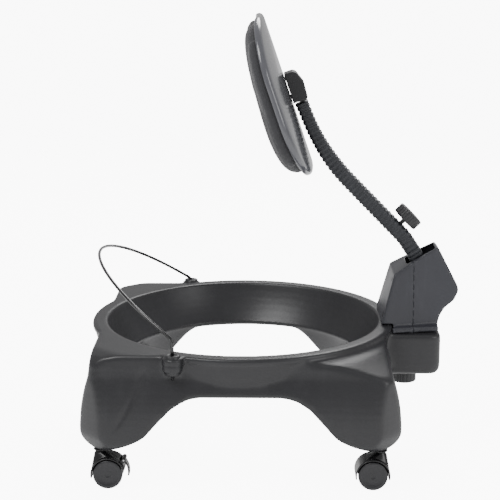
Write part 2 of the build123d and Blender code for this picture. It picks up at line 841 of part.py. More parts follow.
screw_spots = [(36.0, 78.0), (-36.0, 78.0), (46.0, 12.0), (-46.0, 12.0)]   # across, up the front face
front_low, front_high = housing_side[1], housing_side[2]
front_rise = (
    (front_high[0] - front_low[0]) / hypot(front_high[0] - front_low[0], front_high[1] - front_low[1]),
    (front_high[1] - front_low[1]) / hypot(front_high[0] - front_low[0], front_high[1] - front_low[1]),
)
front_face = Plane(
    origin=space(front_low), x_dir=(0, -1, 0), z_dir=(-front_rise[1], 0, front_rise[0])
)
screw_head, screw_shank, screw_depth = 3.6, 1.9, 12.0

with BuildPart() as housing:
    add(housing_form(0))
    add(housing_form(housing_wall), mode=Mode.SUBTRACT)
    with BuildSketch(Plane.XY.offset(shelf_top)) as _:
        with Locations(((264 + 348) / 2, 0)):
            Rectangle(348 - 264, 2 * (housing_flange_rear - housing_wall))
    extrude(amount=housing_wall + 1, mode=Mode.SUBTRACT)
    with BuildSketch(Plane.XY.offset(rim_top + 75)) as _:
        with Locations(((slot_front + slot_rear) / 2, 0)):
            Rectangle(slot_rear - slot_front, 2 * slot_half)
    extrude(amount=100, mode=Mode.SUBTRACT)
    with BuildSketch(Plane.XY) as _:
        Circle(rim_outer + 0.3)
    extrude(amount=rim_top + 0.2, mode=Mode.SUBTRACT)
    with BuildSketch(front_face) as _:
        with Locations(*screw_spots):
            Circle(screw_head + 1.5)
    extrude(amount=-screw_depth)
    with BuildSketch(front_face) as _:
        with Locations(*screw_spots):
            Circle(screw_shank)
    extrude(amount=-screw_depth, mode=Mode.SUBTRACT)
    with BuildSketch(front_face) as _:
        with Locations(*screw_spots):
            Circle(screw_head)
    extrude(amount=-1.5, mode=Mode.SUBTRACT)

with BuildPart() as housing_front:
    add(housing.part)
    split(bisect_by=Plane.YZ.offset(housing_seam_x), keep=Keep.BOTTOM)
save(housing_front.part, "housing_front")
with BuildPart() as housing_rear:
    add(housing.part)
    split(bisect_by=Plane.YZ.offset(housing_seam_x), keep=Keep.TOP)
save(housing_rear.part, "housing_rear")

with BuildPart() as housing_screws:
    with BuildSketch(front_face) as _:
        with Locations(*screw_spots):
            Circle(screw_head)
    extrude(amount=-1.5)
    with BuildSketch(front_face) as _:
        with Locations(*screw_spots):
            Circle(screw_shank)
    extrude(amount=-screw_depth)
save(housing_screws.part, "housing_screws")

# ---- backrest -------------------------------------------------------------------------------------------
# Its own coordinates: out from the back face of the shell, and up its lean.
back_half_arc = degrees(back_half_width / back_wrap_radius) * 1.3
wrap_origin = step(back_middle, back_out, -back_wrap_radius)
wrap_axis = Axis(space(wrap_origin), space(back_up))
back_face = Plane(origin=space(back_middle), x_dir=(0, 1, 0), z_dir=space(back_out))


def wrapped(section):
    """Turn a side section through the backrest's wrap about its upright axis."""
    start = Plane(origin=space(wrap_origin), x_dir=space(back_out), z_dir=(0, -1, 0))
    with BuildPart() as swept:
        revolve(
            (start * section).rotate(wrap_axis, -back_half_arc), axis=wrap_axis,
            revolution_arc=2 * back_half_arc,
        )
    return swept.part


def outline(border):
    """Backrest's face outline, cut through everything at its place."""
    with BuildPart() as block:
        with BuildSketch(back_face.offset(-100)) as _:
            RectangleRounded(
                2 * (back_half_width - border), 2 * (back_half_length - border), back_corner - border
            )
        extrude(amount=200)
    return block.part


def slab(outer, inner, height):
    """Side section between two depths, measured out from the shell's back face."""
    with BuildSketch() as section:
        with Locations((back_wrap_radius + (outer + inner) / 2, 0)):
            Rectangle(outer - inner, 2 * height)
    return section.sketch


def slab_part(outer, inner, border):
    """Curved slab between two depths, trimmed to the outline less a border."""
    with BuildPart() as piece:
        add(wrapped(slab(outer, inner, back_half_length + 10)))
        add(outline(border), mode=Mode.INTERSECT)
    return piece.part


def mount_holes(radius):
    """Four screw holes that the shell, the board and the pivot bracket share."""
    with BuildPart() as holes:
        with BuildSketch(back_face.offset(-shell_depth - 6)) as _:
            with Locations((0, pivot_rise)):
                with GridLocations(2 * 13, 2 * 17, 2, 2):
                    Circle(radius)
        extrude(amount=shell_depth + 12)
    return holes.part


mount_face = back_face.offset(mount_pad_rise)
mount_screw_radius = 2.5
with BuildPart() as back_shell:
    add(slab_part(0, -shell_depth, 0))
    add(slab_part(-shell_skin, -shell_depth - 5, shell_skin), mode=Mode.SUBTRACT)
    with BuildSketch(mount_face) as _:
        with Locations((0, pivot_rise)):
            RectangleRounded(2 * cover_half_width, 2 * bracket_half_length + 6, 4)
    extrude(amount=-mount_pad_rise - 2)
    add(mount_holes(mount_screw_radius), mode=Mode.SUBTRACT)
save(back_shell.part, "back_shell")

with BuildPart() as pad_board:
    add(slab_part(-shell_skin - board_gap, -shell_depth, board_border))
    add(mount_holes(mount_screw_radius), mode=Mode.SUBTRACT)
save(pad_board.part, "pad_board")


def pad_section():
    """Side section of the cushion: flat behind, crowned in front."""
    back = back_wrap_radius - shell_depth - pad_gap
    half = back_half_length - pad_border
    with BuildSketch() as section:
        with BuildLine() as _:
            Polyline((back, -half - 4), (back, half + 4), (back - 10, half + 4))
            ThreePointArc((back - 10, half + 4), (back - pad_crown, 0), (back - pad_foot, -half - 4))
            Line((back - pad_foot, -half - 4), (back, -half - 4))
        make_face()
    return section.sketch


with BuildPart() as pad_cushion:
    add(wrapped(pad_section()))
    add(outline(pad_border), mode=Mode.INTERSECT)
save(pad_cushion.part, "pad_cushion")

pivot_plane = Plane.XZ


def eye_sketch(radius):
    with BuildSketch(pivot_plane) as disc:
        with Locations(pivot):
            Circle(radius)
    return disc.sketch


with BuildPart() as pivot_bushes:
    for sign in (-1, 1):
        extrude(
            eye_sketch(pivot_radius + bush_wall).moved(Location((0, sign * (eye_width / 2 - 8), 0))),
            amount=-sign * 8,
        )
        extrude(
            eye_sketch(eye_radius - 0.5).moved(Location((0, sign * eye_width / 2, 0))),
            amount=-sign * bush_flange,
        )
    extrude(eye_sketch(pivot_radius + running_fit), amount=eye_width, both=True, mode=Mode.SUBTRACT)
save(pivot_bushes.part, "pivot_bushes")

ear_inner = eye_width / 2 + bush_flange + 0.2
with BuildPart() as pivot_bracket:
    with BuildSketch(mount_face) as _:
        with Locations((0, pivot_rise)):
            RectangleRounded(2 * bracket_half_width, 2 * bracket_half_length, 3)
            with GridLocations(2 * 13, 2 * 17, 2, 2):
                Circle(mount_screw_radius, mode=Mode.SUBTRACT)
    extrude(amount=bracket_plate)
    ear = Plane(origin=mount_face.origin, x_dir=space(back_out), z_dir=(0, -1, 0))
    for sign in (-1, 1):
        with BuildSketch(ear.offset(-sign * ear_inner)) as _:
            with Locations((pivot_standoff - mount_pad_rise, pivot_rise)):
                Circle(eye_radius)
            with Locations((0, pivot_rise)):
                Rectangle(
                    pivot_standoff - mount_pad_rise, 2 * eye_radius,
                    align=(Align.MIN, Align.CENTER),
                )
        extrude(amount=-sign * bracket_plate)
    extrude(eye_sketch(pivot_radius), amount=cover_half_width, both=True, mode=Mode.SUBTRACT)
save(pivot_bracket.part, "pivot_bracket")

bolt_head = 1.8
ear_outer = ear_inner + bracket_plate
with BuildPart() as pivot_bolt:
    extrude(eye_sketch(pivot_radius), amount=ear_outer + 1.2, both=True)
    extrude(eye_sketch(6).moved(Location((0, -ear_outer, 0))), amount=bolt_head)
save(pivot_bolt.part, "pivot_bolt")
with BuildPart() as pivot_clip:
    extrude(eye_sketch(6.5).moved(Location((0, ear_outer, 0))), amount=-1.2)
    extrude(eye_sketch(pivot_radius), amount=cover_half_width, both=True, mode=Mode.SUBTRACT)
save(pivot_clip.part, "pivot_clip")

with BuildPart() as bracket_screws:
    with BuildSketch(mount_face.offset(bracket_plate)) as _:
        with Locations((0, pivot_rise)):
            with GridLocations(2 * 13, 2 * 17, 2, 2):
                Circle(3.6)
    extrude(amount=1.6)
    with BuildSketch(mount_face.offset(bracket_plate)) as _:
        with Locations((0, pivot_rise)):
            with GridLocations(2 * 13, 2 * 17, 2, 2):
                Circle(mount_screw_radius)
    extrude(amount=-(bracket_plate + mount_pad_rise + shell_depth - 1))
save(bracket_screws.part, "bracket_screws")


def cover_form(inset):
    """Rounded cap over the pivot, open towards the shell and the stem."""
    side = Plane(origin=mount_face.origin, x_dir=space(back_out), z_dir=(0, -1, 0))
    with BuildPart() as cap:
        with BuildSketch(side) as _:
            with BuildLine() as _:
                FilletPolyline(
                    (0, pivot_rise - 27), (27.5, pivot_rise - 27), (29, pivot_rise + 2),
                    (20, pivot_rise + 27), (0, pivot_rise + 27), radius=[5, 12, 10],
                )
                Line((0, pivot_rise + 27), (0, pivot_rise - 27))
            make_face()
            if inset:
                offset(amount=-inset, kind=Kind.INTERSECTION)
        extrude(amount=cover_half_width - inset, both=True)
    return cap.part


cover_screw_spots = [(-16.0, 0.0), (16.0, 0.0)]
cover_back = Plane(
    origin=space(step(step(back_middle, back_out, mount_pad_rise + 26), back_up, pivot_rise + 5)),
    x_dir=(0, 1, 0), z_dir=space(back_out),
)
with BuildPart() as pivot_cover:
    add(cover_form(0))
    add(cover_form(cover_wall), mode=Mode.SUBTRACT)
    with BuildSketch(mount_face) as _:
        with Locations((0, pivot_rise)):
            Rectangle(2 * (cover_half_width - cover_wall), 54 - 2 * cover_wall)
    extrude(amount=cover_wall + 1, mode=Mode.SUBTRACT)
    with BuildSketch(mount_face) as _:
        with Locations((0, pivot_rise - 27)):
            Rectangle(2 * (bar_width / 2 + 2.5), 2 * cover_wall + 6)
    extrude(amount=40, mode=Mode.SUBTRACT)
    with BuildSketch(cover_back.offset(3)) as _:
        with Locations(*cover_screw_spots):
            Circle(3.2)
    extrude(amount=-12, mode=Mode.SUBTRACT)
save(pivot_cover.part, "pivot_cover")
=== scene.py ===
"""Finishes and visible shapes of a wheeled ball-chair frame with a padded backrest."""
import logging
import math
from dataclasses import dataclass
from enum import Enum
from typing import Callable, Iterable, Sequence

import bmesh
import bpy
import numpy as np
from mathutils import Matrix, Vector


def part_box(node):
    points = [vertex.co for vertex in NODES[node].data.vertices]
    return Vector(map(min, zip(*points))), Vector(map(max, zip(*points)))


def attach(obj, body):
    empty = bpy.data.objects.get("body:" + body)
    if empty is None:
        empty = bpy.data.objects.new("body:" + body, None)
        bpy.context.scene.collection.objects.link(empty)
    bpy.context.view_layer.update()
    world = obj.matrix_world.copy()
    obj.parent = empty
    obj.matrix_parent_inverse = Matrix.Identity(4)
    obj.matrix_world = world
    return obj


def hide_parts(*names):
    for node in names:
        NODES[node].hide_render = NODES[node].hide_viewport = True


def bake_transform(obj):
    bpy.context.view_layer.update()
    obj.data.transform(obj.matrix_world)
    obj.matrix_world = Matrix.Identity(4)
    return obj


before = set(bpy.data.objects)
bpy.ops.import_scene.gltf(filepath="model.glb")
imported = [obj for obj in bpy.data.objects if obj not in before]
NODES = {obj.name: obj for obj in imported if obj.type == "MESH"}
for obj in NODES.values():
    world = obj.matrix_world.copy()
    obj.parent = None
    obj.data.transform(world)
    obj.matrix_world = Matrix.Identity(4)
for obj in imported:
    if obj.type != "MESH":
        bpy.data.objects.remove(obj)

log = logging.getLogger("ball_chair")
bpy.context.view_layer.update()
MM = 0.001
Point = tuple[float, float]


# ---- shader work shared by the finishes


def fresh_group(name: str, inputs: dict[str, float], outputs: dict[str, str]) -> bpy.types.NodeTree:
    """Start a shader node group with its sockets.

    Args:
        name: The group's name.
        inputs: Each number input and its usual value.
        outputs: Each output and its socket type.

    Returns:
        The empty group, with its input and output nodes in place.
    """
    group = bpy.data.node_groups.new(name, "ShaderNodeTree")
    for label, value in inputs.items():
        socket = group.interface.new_socket(label, in_out="INPUT", socket_type="NodeSocketFloat")
        socket.default_value = value
    for label, kind in outputs.items():
        group.interface.new_socket(label, in_out="OUTPUT", socket_type=kind)
    group.nodes.new("NodeGroupInput").name = "in"
    group.nodes.new("NodeGroupOutput").name = "out"
    return group


def noise_node(tree: bpy.types.NodeTree, detail: float, roughness: float = 0.55) -> bpy.types.Node:
    """Add a noise texture of a given detail and roughness.

    Args:
        tree: The node tree to add it to.
        detail: How many octaves it has.
        roughness: How strong the fine octaves are.

    Returns:
        The new node.
    """
    node = tree.nodes.new("ShaderNodeTexNoise")
    node.inputs["Detail"].default_value = detail
    node.inputs["Roughness"].default_value = roughness
    return node


def grain_group() -> bpy.types.NodeTree:
    """Build the moulded surface's grain: fine height, slow waviness and a mottle mask.

    Returns:
        A group with Height and Mottle outputs.
    """
    group = fresh_group(
        "moulding_grain", {"Fine scale": 900.0, "Wave scale": 22.0, "Fine share": 0.35},
        {"Height": "NodeSocketFloat", "Mottle": "NodeSocketFloat"},
    )
    nodes, links = group.nodes, group.links
    place = nodes.new("ShaderNodeTexCoord")
    fine, slow = noise_node(group, 2.0), noise_node(group, 3.0)
    mix = nodes.new("ShaderNodeMix")
    for texture, scale in ((fine, "Fine scale"), (slow, "Wave scale")):
        links.new(place.outputs["Object"], texture.inputs["Vector"])
        links.new(nodes["in"].outputs[scale], texture.inputs["Scale"])
    links.new(nodes["in"].outputs["Fine share"], mix.inputs["Factor"])
    links.new(slow.outputs["Fac"], mix.inputs["A"])
    links.new(fine.outputs["Fac"], mix.inputs["B"])
    links.new(mix.outputs["Result"], nodes["out"].inputs["Height"])
    links.new(slow.outputs["Fac"], nodes["out"].inputs["Mottle"])
    return group


def scuff_group() -> bpy.types.NodeTree:
    """Build faint handling marks: sparse stretched streaks.

    Returns:
        A group with one Mask output.
    """
    group = fresh_group(
        "handling_marks", {"Scale": 30.0, "Amount": 0.5}, {"Mask": "NodeSocketFloat"}
    )
    nodes, links = group.nodes, group.links
    place = nodes.new("ShaderNodeTexCoord")
    stretch = nodes.new("ShaderNodeMapping")
    stretch.inputs["Scale"].default_value = (1.0, 1.0, 0.25)
    streaks = noise_node(group, 6.0, 0.7)
    cut = nodes.new("ShaderNodeMapRange")
    cut.inputs["From Min"].default_value = 0.52
    cut.inputs["From Max"].default_value = 0.75
    share = nodes.new("ShaderNodeMath")
    share.operation = "MULTIPLY"
    links.new(place.outputs["Object"], stretch.inputs["Vector"])
    links.new(stretch.outputs["Vector"], streaks.inputs["Vector"])
    links.new(nodes["in"].outputs["Scale"], streaks.inputs["Scale"])
    links.new(streaks.outputs["Fac"], cut.inputs["Value"])
    links.new(cut.outputs["Result"], share.inputs[0])
    links.new(nodes["in"].outputs["Amount"], share.inputs[1])
    links.new(share.outputs["Value"], nodes["out"].inputs["Mask"])
    return group


class Bench:
    """Node groups that several finishes share, built once."""

    grain = grain_group()
    scuffs = scuff_group()


@dataclass(frozen=True)
class Finish:
    """A finish that a Principled surface can give, with grain, mottle and marks."""

    name: str
    slot: str
    colour: tuple[float, float, float]
    roughness: float = 0.45
    spread: float = 0.08
    mottle: float = 0.12
    metallic: float = 0.0
    specular: float = 0.5
    coat: float = 0.0
    coat_roughness: float = 0.1
    sheen: float = 0.0
    fine_scale: float = 900.0
    wave_scale: float = 22.0
    fine_share: float = 0.35
    relief: float = 0.08
    depth: float = 0.0006
    marks: float = 0.4

    def material(self) -> bpy.types.Material:
        """Build the material, or return the one already built.

        Returns:
            The finished material.
        """
        if self.name in bpy.data.materials:
            return bpy.data.materials[self.name]
        material = bpy.data.materials.new(self.name)
        material.use_nodes = True
        tree = material.node_tree
        surface = tree.nodes["Principled BSDF"]
        self.set_shader(surface)
        grain = self.placed(tree, Bench.grain)
        grain.inputs["Fine scale"].default_value = self.fine_scale
        grain.inputs["Wave scale"].default_value = self.wave_scale
        grain.inputs["Fine share"].default_value = self.fine_share
        marks = self.placed(tree, Bench.scuffs)
        marks.inputs["Amount"].default_value = self.marks
        self.paint(tree, surface, grain, marks)
        self.raise_grain(tree, surface, grain.outputs["Height"])
        return material

    def set_shader(self, surface: bpy.types.Node) -> None:
        """Set the numbers that are the same all over the surface.

        Args:
            surface: The Principled shader.
        """
        values = {
            "Roughness": self.roughness, "Metallic": self.metallic, "Specular IOR Level": self.specular,
            "Coat Weight": self.coat, "Coat Roughness": self.coat_roughness, "Sheen Weight": self.sheen,
        }
        for socket, value in values.items():
            surface.inputs[socket].default_value = value

    @staticmethod
    def placed(tree: bpy.types.NodeTree, group: bpy.types.NodeTree) -> bpy.types.Node:
        """Put a node group in a material.

        Args:
            tree: The material's nodes.
            group: The group to place.

        Returns:
            The placed group.
        """
        node = tree.nodes.new("ShaderNodeGroup")
        node.node_tree = group
        return node

    def paint(
        self, tree: bpy.types.NodeTree, surface: bpy.types.Node, grain: bpy.types.Node,
        marks: bpy.types.Node,
    ) -> None:
        """Vary colour and roughness with the mottle and the handling marks.

        Args:
            tree: The material's nodes.
            surface: Its Principled shader.
            grain: The grain group as placed.
            marks: The marks group as placed.
        """
        shades = [
            tuple(min(1.0, c * (1 + sign * self.mottle)) for c in self.colour) + (1.0,) for sign in (-1, 1)
        ]
        ramp = tree.nodes.new("ShaderNodeMix")
        ramp.data_type = "RGBA"
        ramp.inputs["A"].default_value, ramp.inputs["B"].default_value = shades
        tree.links.new(grain.outputs["Mottle"], ramp.inputs["Factor"])
        worn = tree.nodes.new("ShaderNodeMix")
        worn.data_type = "RGBA"
        worn.inputs["B"].default_value = tuple(min(1.0, c * 1.5 + 0.01) for c in self.colour) + (1.0,)
        tree.links.new(marks.outputs["Mask"], worn.inputs["Factor"])
        tree.links.new(ramp.outputs["Result"], worn.inputs["A"])
        tree.links.new(worn.outputs["Result"], surface.inputs["Base Color"])
        rough = tree.nodes.new("ShaderNodeMapRange")
        rough.inputs["To Min"].default_value = max(0.02, self.roughness - self.spread)
        rough.inputs["To Max"].default_value = min(1.0, self.roughness + self.spread)
        tree.links.new(grain.outputs["Mottle"], rough.inputs["Value"])
        tree.links.new(rough.outputs["Result"], surface.inputs["Roughness"])

    def raise_grain(
        self, tree: bpy.types.NodeTree, surface: bpy.types.Node, height: bpy.types.NodeSocket
    ) -> None:
        """Feed a height to the surface's normal through a Bump node.

        Args:
            tree: The material's nodes.
            surface: Its Principled shader.
            height: The height to raise.
        """
        bump = tree.nodes.new("ShaderNodeBump")
        bump.inputs["Strength"].default_value = self.relief
        bump.inputs["Distance"].default_value = self.depth
        tree.links.new(height, bump.inputs["Height"])
        tree.links.new(bump.outputs["Normal"], surface.inputs["Normal"])


@dataclass(frozen=True)
class RippledPlastic(Finish):
    """Blow-moulded plastic: slow level ripples over the usual grain."""

    ripple_scale: float = 26.0
    ripple_share: float = 0.35

    def raise_grain(
        self, tree: bpy.types.NodeTree, surface: bpy.types.Node, height: bpy.types.NodeSocket
    ) -> None:
        """Add level ripples to the grain before it is raised.

        Args:
            tree: The material's nodes.
            surface: Its Principled shader.
            height: The height to raise.
        """
        place = tree.nodes.new("ShaderNodeTexCoord")
        ripple = tree.nodes.new("ShaderNodeTexWave")
        ripple.bands_direction = "Z"
        ripple.inputs["Scale"].default_value = self.ripple_scale
        ripple.inputs["Distortion"].default_value = 2.2
        ripple.inputs["Detail Scale"].default_value = 0.6
        tree.links.new(place.outputs["Object"], ripple.inputs["Vector"])
        mix = tree.nodes.new("ShaderNodeMix")
        mix.inputs["Factor"].default_value = self.ripple_share
        tree.links.new(height, mix.inputs["A"])
        tree.links.new(ripple.outputs["Fac"], mix.inputs["B"])
        super().raise_grain(tree, surface, mix.outputs["Result"])


@dataclass(frozen=True)
class WovenCloth(Finish):
    """Plain-woven cover cloth: two crossed sets of threads."""

    thread_scale: float = 260.0
    lean: float = 0.0

    def raise_grain(
        self, tree: bpy.types.NodeTree, surface: bpy.types.Node, height: bpy.types.NodeSocket
    ) -> None:
        """Raise crossed threads over the slow unevenness of the padding.

        Args:
            tree: The material's nodes.
            surface: Its Principled shader.
            height: The height to raise.
        """
        place = tree.nodes.new("ShaderNodeTexCoord")
        turn = tree.nodes.new("ShaderNodeMapping")
        turn.inputs["Rotation"].default_value = (0.0, self.lean, 0.0)
        tree.links.new(place.outputs["Object"], turn.inputs["Vector"])
        threads = []
        for direction in ("Y", "Z"):
            wave = tree.nodes.new("ShaderNodeTexWave")
            wave.bands_direction = direction
            wave.inputs["Scale"].default_value = self.thread_scale
            wave.inputs["Distortion"].default_value = 0.6
            tree.links.new(turn.outputs["Vector"], wave.inputs["Vector"])
            threads.append(wave)
        cross = tree.nodes.new("ShaderNodeMath")
        cross.operation = "MULTIPLY"
        for index, wave in enumerate(threads):
            tree.links.new(wave.outputs["Fac"], cross.inputs[index])
        total = tree.nodes.new("ShaderNodeMath")
        total.operation = "ADD"
        tree.links.new(cross.outputs["Value"], total.inputs[0])
        tree.links.new(height, total.inputs[1])
        super().raise_grain(tree, surface, total.outputs["Value"])


LEAN = math.radians(18.9)

FRAME_PLASTIC = RippledPlastic(
    "satin_charcoal_moulding", "frame_plastic", (0.02, 0.02, 0.0225), roughness=0.36, spread=0.07,
    fine_scale=1100.0, wave_scale=14.0, relief=0.3, depth=0.0009, marks=0.3,
    ripple_share=0.16,
)
HOUSING_PLASTIC = Finish(
    "satin_slate_moulding", "housing_plastic", (0.034, 0.035, 0.043), roughness=0.4, relief=0.3,
    marks=0.35,
)
HOOD_PLASTIC = Finish(
    "gloss_black_hood", "hood_plastic", (0.008, 0.008, 0.009), roughness=0.22, spread=0.05, relief=0.12,
    marks=0.2,
)
WHEEL_PLASTIC = Finish(
    "satin_grey_wheel", "wheel_plastic", (0.022, 0.022, 0.025), roughness=0.36, spread=0.08, relief=0.2,
)
KNOB_PLASTIC = Finish(
    "satin_black_knob", "knob_plastic", (0.02, 0.02, 0.022), roughness=0.4, relief=0.3,
)
SLEEVE_RUBBER = Finish(
    "slate_sleeve_rubber", "sleeve_rubber", (0.02, 0.022, 0.027), roughness=0.46, spread=0.12,
    mottle=0.3, wave_scale=160.0, relief=0.5, depth=0.0008, marks=0.8,
)
SHELL_PLASTIC = Finish(
    "gloss_grey_shell", "shell_plastic", (0.085, 0.086, 0.098), roughness=0.2, spread=0.05, coat=0.8,
    coat_roughness=0.12, relief=0.1, marks=0.3,
)
PAD_CLOTH = WovenCloth(
    "charcoal_cover_cloth", "pad_fabric", (0.03, 0.03, 0.034), roughness=0.8, spread=0.06,
    sheen=0.25, relief=0.5, depth=0.0006, lean=-LEAN, marks=0.15, fine_share=0.6,
)
WIRE_GLOSS = Finish(
    "gloss_black_wire", "black_wire", (0.008, 0.008, 0.009), roughness=0.22, spread=0.02, coat=0.5,
    fine_share=0.0, relief=0.02, marks=0.0,
)
POWDER_COAT = Finish(
    "black_powder_coat", "painted_bar", (0.015, 0.015, 0.016), roughness=0.5, fine_scale=2200.0, relief=0.5,
)
ZINC = Finish(
    "zinc_plate", "plated_steel", (0.56, 0.56, 0.58), roughness=0.32, metallic=1.0, mottle=0.08, relief=0.1,
)
BLACK_STEEL = Finish(
    "blackened_screw_steel", "black_steel", (0.03, 0.03, 0.032), roughness=0.38, metallic=0.6,
)
NYLON = Finish("black_nylon", "nylon", (0.02, 0.02, 0.021), roughness=0.48, relief=0.15)


# ---- mesh work shared by the pieces


def grown_ring(bm: bmesh.types.BMesh, verts: list, edges: list) -> tuple[list, list]:
    """Extrude a closed ring once, keeping its vertices in order.

    Args:
        bm: The mesh that holds the ring.
        verts: The ring's vertices.
        edges: The ring's edges.

    Returns:
        The new ring's vertices and edges.
    """
    grown = bmesh.ops.extrude_edge_only(bm, edges=edges)["geom"]
    copies = [item for item in grown if isinstance(item, bmesh.types.BMVert)]
    chosen = set(copies)
    rim = [item for item in grown if isinstance(item, bmesh.types.BMEdge) and chosen.issuperset(item.verts)]
    order = {tuple(round(c, 7) for c in vert.co): index for index, vert in enumerate(verts)}
    return sorted(copies, key=lambda vert: order[tuple(round(c, 7) for c in vert.co)]), rim


def cut_below(bm: bmesh.types.BMesh, height: float) -> None:
    """Cut away everything below a height and cap the cut.

    Args:
        bm: The mesh to cut.
        height: The height of the cut.
    """
    cut = bmesh.ops.bisect_plane(
        bm, geom=bm.verts[:] + bm.edges[:] + bm.faces[:], plane_co=(0, 0, height), plane_no=(0, 0, -1),
        clear_outer=True,
    )
    rim = [item for item in cut["geom_cut"] if isinstance(item, bmesh.types.BMEdge)]
    bmesh.ops.contextual_create(bm, geom=rim)


def to_object(bm: bmesh.types.BMesh, name: str) -> bpy.types.Object:
    """Turn a bmesh into a smooth-shaded object at the origin and free the bmesh.

    Args:
        bm: The mesh to turn.
        name: The new object's name.

    Returns:
        The new object.
    """
    mesh = bpy.data.meshes.new(name)
    bm.to_mesh(mesh)
    bm.free()
    mesh.polygons.foreach_set("use_smooth", [True] * len(mesh.polygons))
    piece = bpy.data.objects.new(name, mesh)
    bpy.context.scene.collection.objects.link(piece)
    return piece


def bake(piece: bpy.types.Object) -> None:
    """Apply every modifier on a piece to its own mesh.

    Args:
        piece: The piece whose modifiers are applied.
    """
    bpy.context.view_layer.update()
    graph = bpy.context.evaluated_depsgraph_get()
    mesh = bpy.data.meshes.new_from_object(piece.evaluated_get(graph))
    piece.modifiers.clear()
    old = piece.data
    piece.data = mesh
    bpy.data.meshes.remove(old)
    mesh.polygons.foreach_set("use_smooth", [True] * len(mesh.polygons))


def outer_copy(node: str) -> bmesh.types.BMesh:
    """Copy a CAD node's outer skin, leaving out any closed space sealed inside it.

    Args:
        node: The CAD node to copy.

    Returns:
        A merged bmesh of the largest connected surface.
    """
    bm = bmesh.new()
    bm.from_mesh(NODES[node].data)
    bmesh.ops.remove_doubles(bm, verts=bm.verts, dist=2e-6)
    left = set(bm.verts)
    islands = []
    while left:
        seed = left.pop()
        island, queue = {seed}, [seed]
        while queue:
            for edge in queue.pop().link_edges:
                for vert in edge.verts:
                    if vert in left:
                        left.discard(vert)
                        island.add(vert)
                        queue.append(vert)
        islands.append(island)
    def reach(island: set) -> float:
        """Span of an island along X."""
        along = [vert.co.x for vert in island]
        return max(along) - min(along)
    largest = max(islands, key=reach)
    spare = [vert for vert in bm.verts if vert not in largest]
    bmesh.ops.delete(bm, geom=spare, context="VERTS")
    return bm


def voxelled(piece: bpy.types.Object, voxel: float) -> None:
    """Join and even out a piece's surface by a voxel remesh.

    Args:
        piece: The piece to even out.
        voxel: The voxel size, in metres.
    """
    remesh = piece.modifiers.new("even", "REMESH")
    remesh.mode = "VOXEL"
    remesh.voxel_size = voxel
    bake(piece)


def smoothed(piece: bpy.types.Object, rounds: int, weights: np.ndarray | None = None) -> None:
    """Relax a piece's surface.

    Args:
        piece: The piece to relax.
        rounds: How many passes.
        weights: How much each vertex may move, from 0 to 1, or None for all of them.
    """
    relax = piece.modifiers.new("relax", "SMOOTH")
    relax.factor = 0.5
    relax.iterations = rounds
    if weights is not None:
        group = piece.vertex_groups.new(name="relax")
        for level in range(1, 11):
            chosen = np.nonzero(np.round(weights * 10).astype(int) == level)[0]
            if len(chosen):
                group.add(chosen.tolist(), level / 10, "REPLACE")
        relax.vertex_group = "relax"
    bake(piece)
    piece.vertex_groups.clear()


def coordinates(piece: bpy.types.Object) -> np.ndarray:
    """Read a piece's vertices as an array of points."""
    points = np.zeros(len(piece.data.vertices) * 3)
    piece.data.vertices.foreach_get("co", points)
    return points.reshape(-1, 3)


def move_to(piece: bpy.types.Object, points: np.ndarray) -> None:
    """Write a piece's vertices back from an array of points."""
    piece.data.vertices.foreach_set("co", points.ravel())
    piece.data.update()


def ramp(values: np.ndarray, low: float, high: float) -> np.ndarray:
    """Smooth step from 0 at low to 1 at high."""
    t = np.clip((values - low) / (high - low), 0.0, 1.0)
    return t * t * (3 - 2 * t)


def spun(
    name: str, profile: Sequence[Point], centre: Vector, axis: Vector, steps: int = 72, closed: bool = True
) -> bpy.types.Object:
    """Turn a profile about an axis.

    Args:
        name: The new piece's name.
        profile: Radius and height pairs, in metres, along the axis from the centre.
        centre: A point on the axis.
        axis: The axis direction.
        steps: Sides round the turn.
        closed: Whether the profile's ends join each other.

    Returns:
        The turned piece.
    """
    axis = axis.normalized()
    side = axis.orthogonal().normalized()
    bm = bmesh.new()
    points = [bm.verts.new(centre + side * r + axis * h) for r, h in profile]
    pairs = list(zip(points, points[1:])) + ([(points[-1], points[0])] if closed else [])
    edges = [bm.edges.new(pair) for pair in pairs]
    bmesh.ops.spin(
        bm, geom=points + edges, cent=centre, axis=axis, angle=math.tau, steps=steps, use_merge=True
    )
    bmesh.ops.remove_doubles(bm, verts=bm.verts, dist=1e-6)
    bmesh.ops.recalc_face_normals(bm, faces=bm.faces)
    return to_object(bm, name)


def drawn_along(
    name: str, ring: Callable[[bmesh.types.BMesh], list], stations: Iterable[tuple[Matrix, float, float]]
) -> bpy.types.Object:
    """Draw a ring of vertices along a route.

    Args:
        name: The new piece's name.
        ring: Makes the section's vertices in its own XY plane.
        stations: For each place, its matrix and the section's scale in x and y.

    Returns:
        The drawn tube, capped at both ends.
    """
    bm = bmesh.new()
    verts = ring(bm)
    home = [vert.co.copy() for vert in verts]
    edges = list(bm.edges)
    first = True
    for matrix, sx, sy in stations:
        if not first:
            verts, edges = grown_ring(bm, verts, edges)
        else:
            bmesh.ops.contextual_create(bm, geom=edges)
        for vert, start in zip(verts, home):
            vert.co = matrix @ Vector((start.x * sx, start.y * sy, 0.0))
        first = False
    bmesh.ops.contextual_create(bm, geom=edges)
    bmesh.ops.recalc_face_normals(bm, faces=bm.faces)
    return to_object(bm, name)


def dress(piece: bpy.types.Object, finish: Finish, replaced: Sequence[str], body: str = "") -> None:
    """Give a new piece its finish, hide the CAD nodes that it stands for, and attach it.

    Args:
        piece: The new piece.
        finish: Its finish.
        replaced: The CAD nodes that it replaces.
        body: The body it rides on, or nothing where the caller attaches it.
    """
    piece.data.materials.clear()
    piece.data.materials.append(finish.material())
    if replaced:
        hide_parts(*replaced)
    if body:
        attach(piece, body)
    log.info("%s: %d faces", piece.name, len(piece.data.polygons))


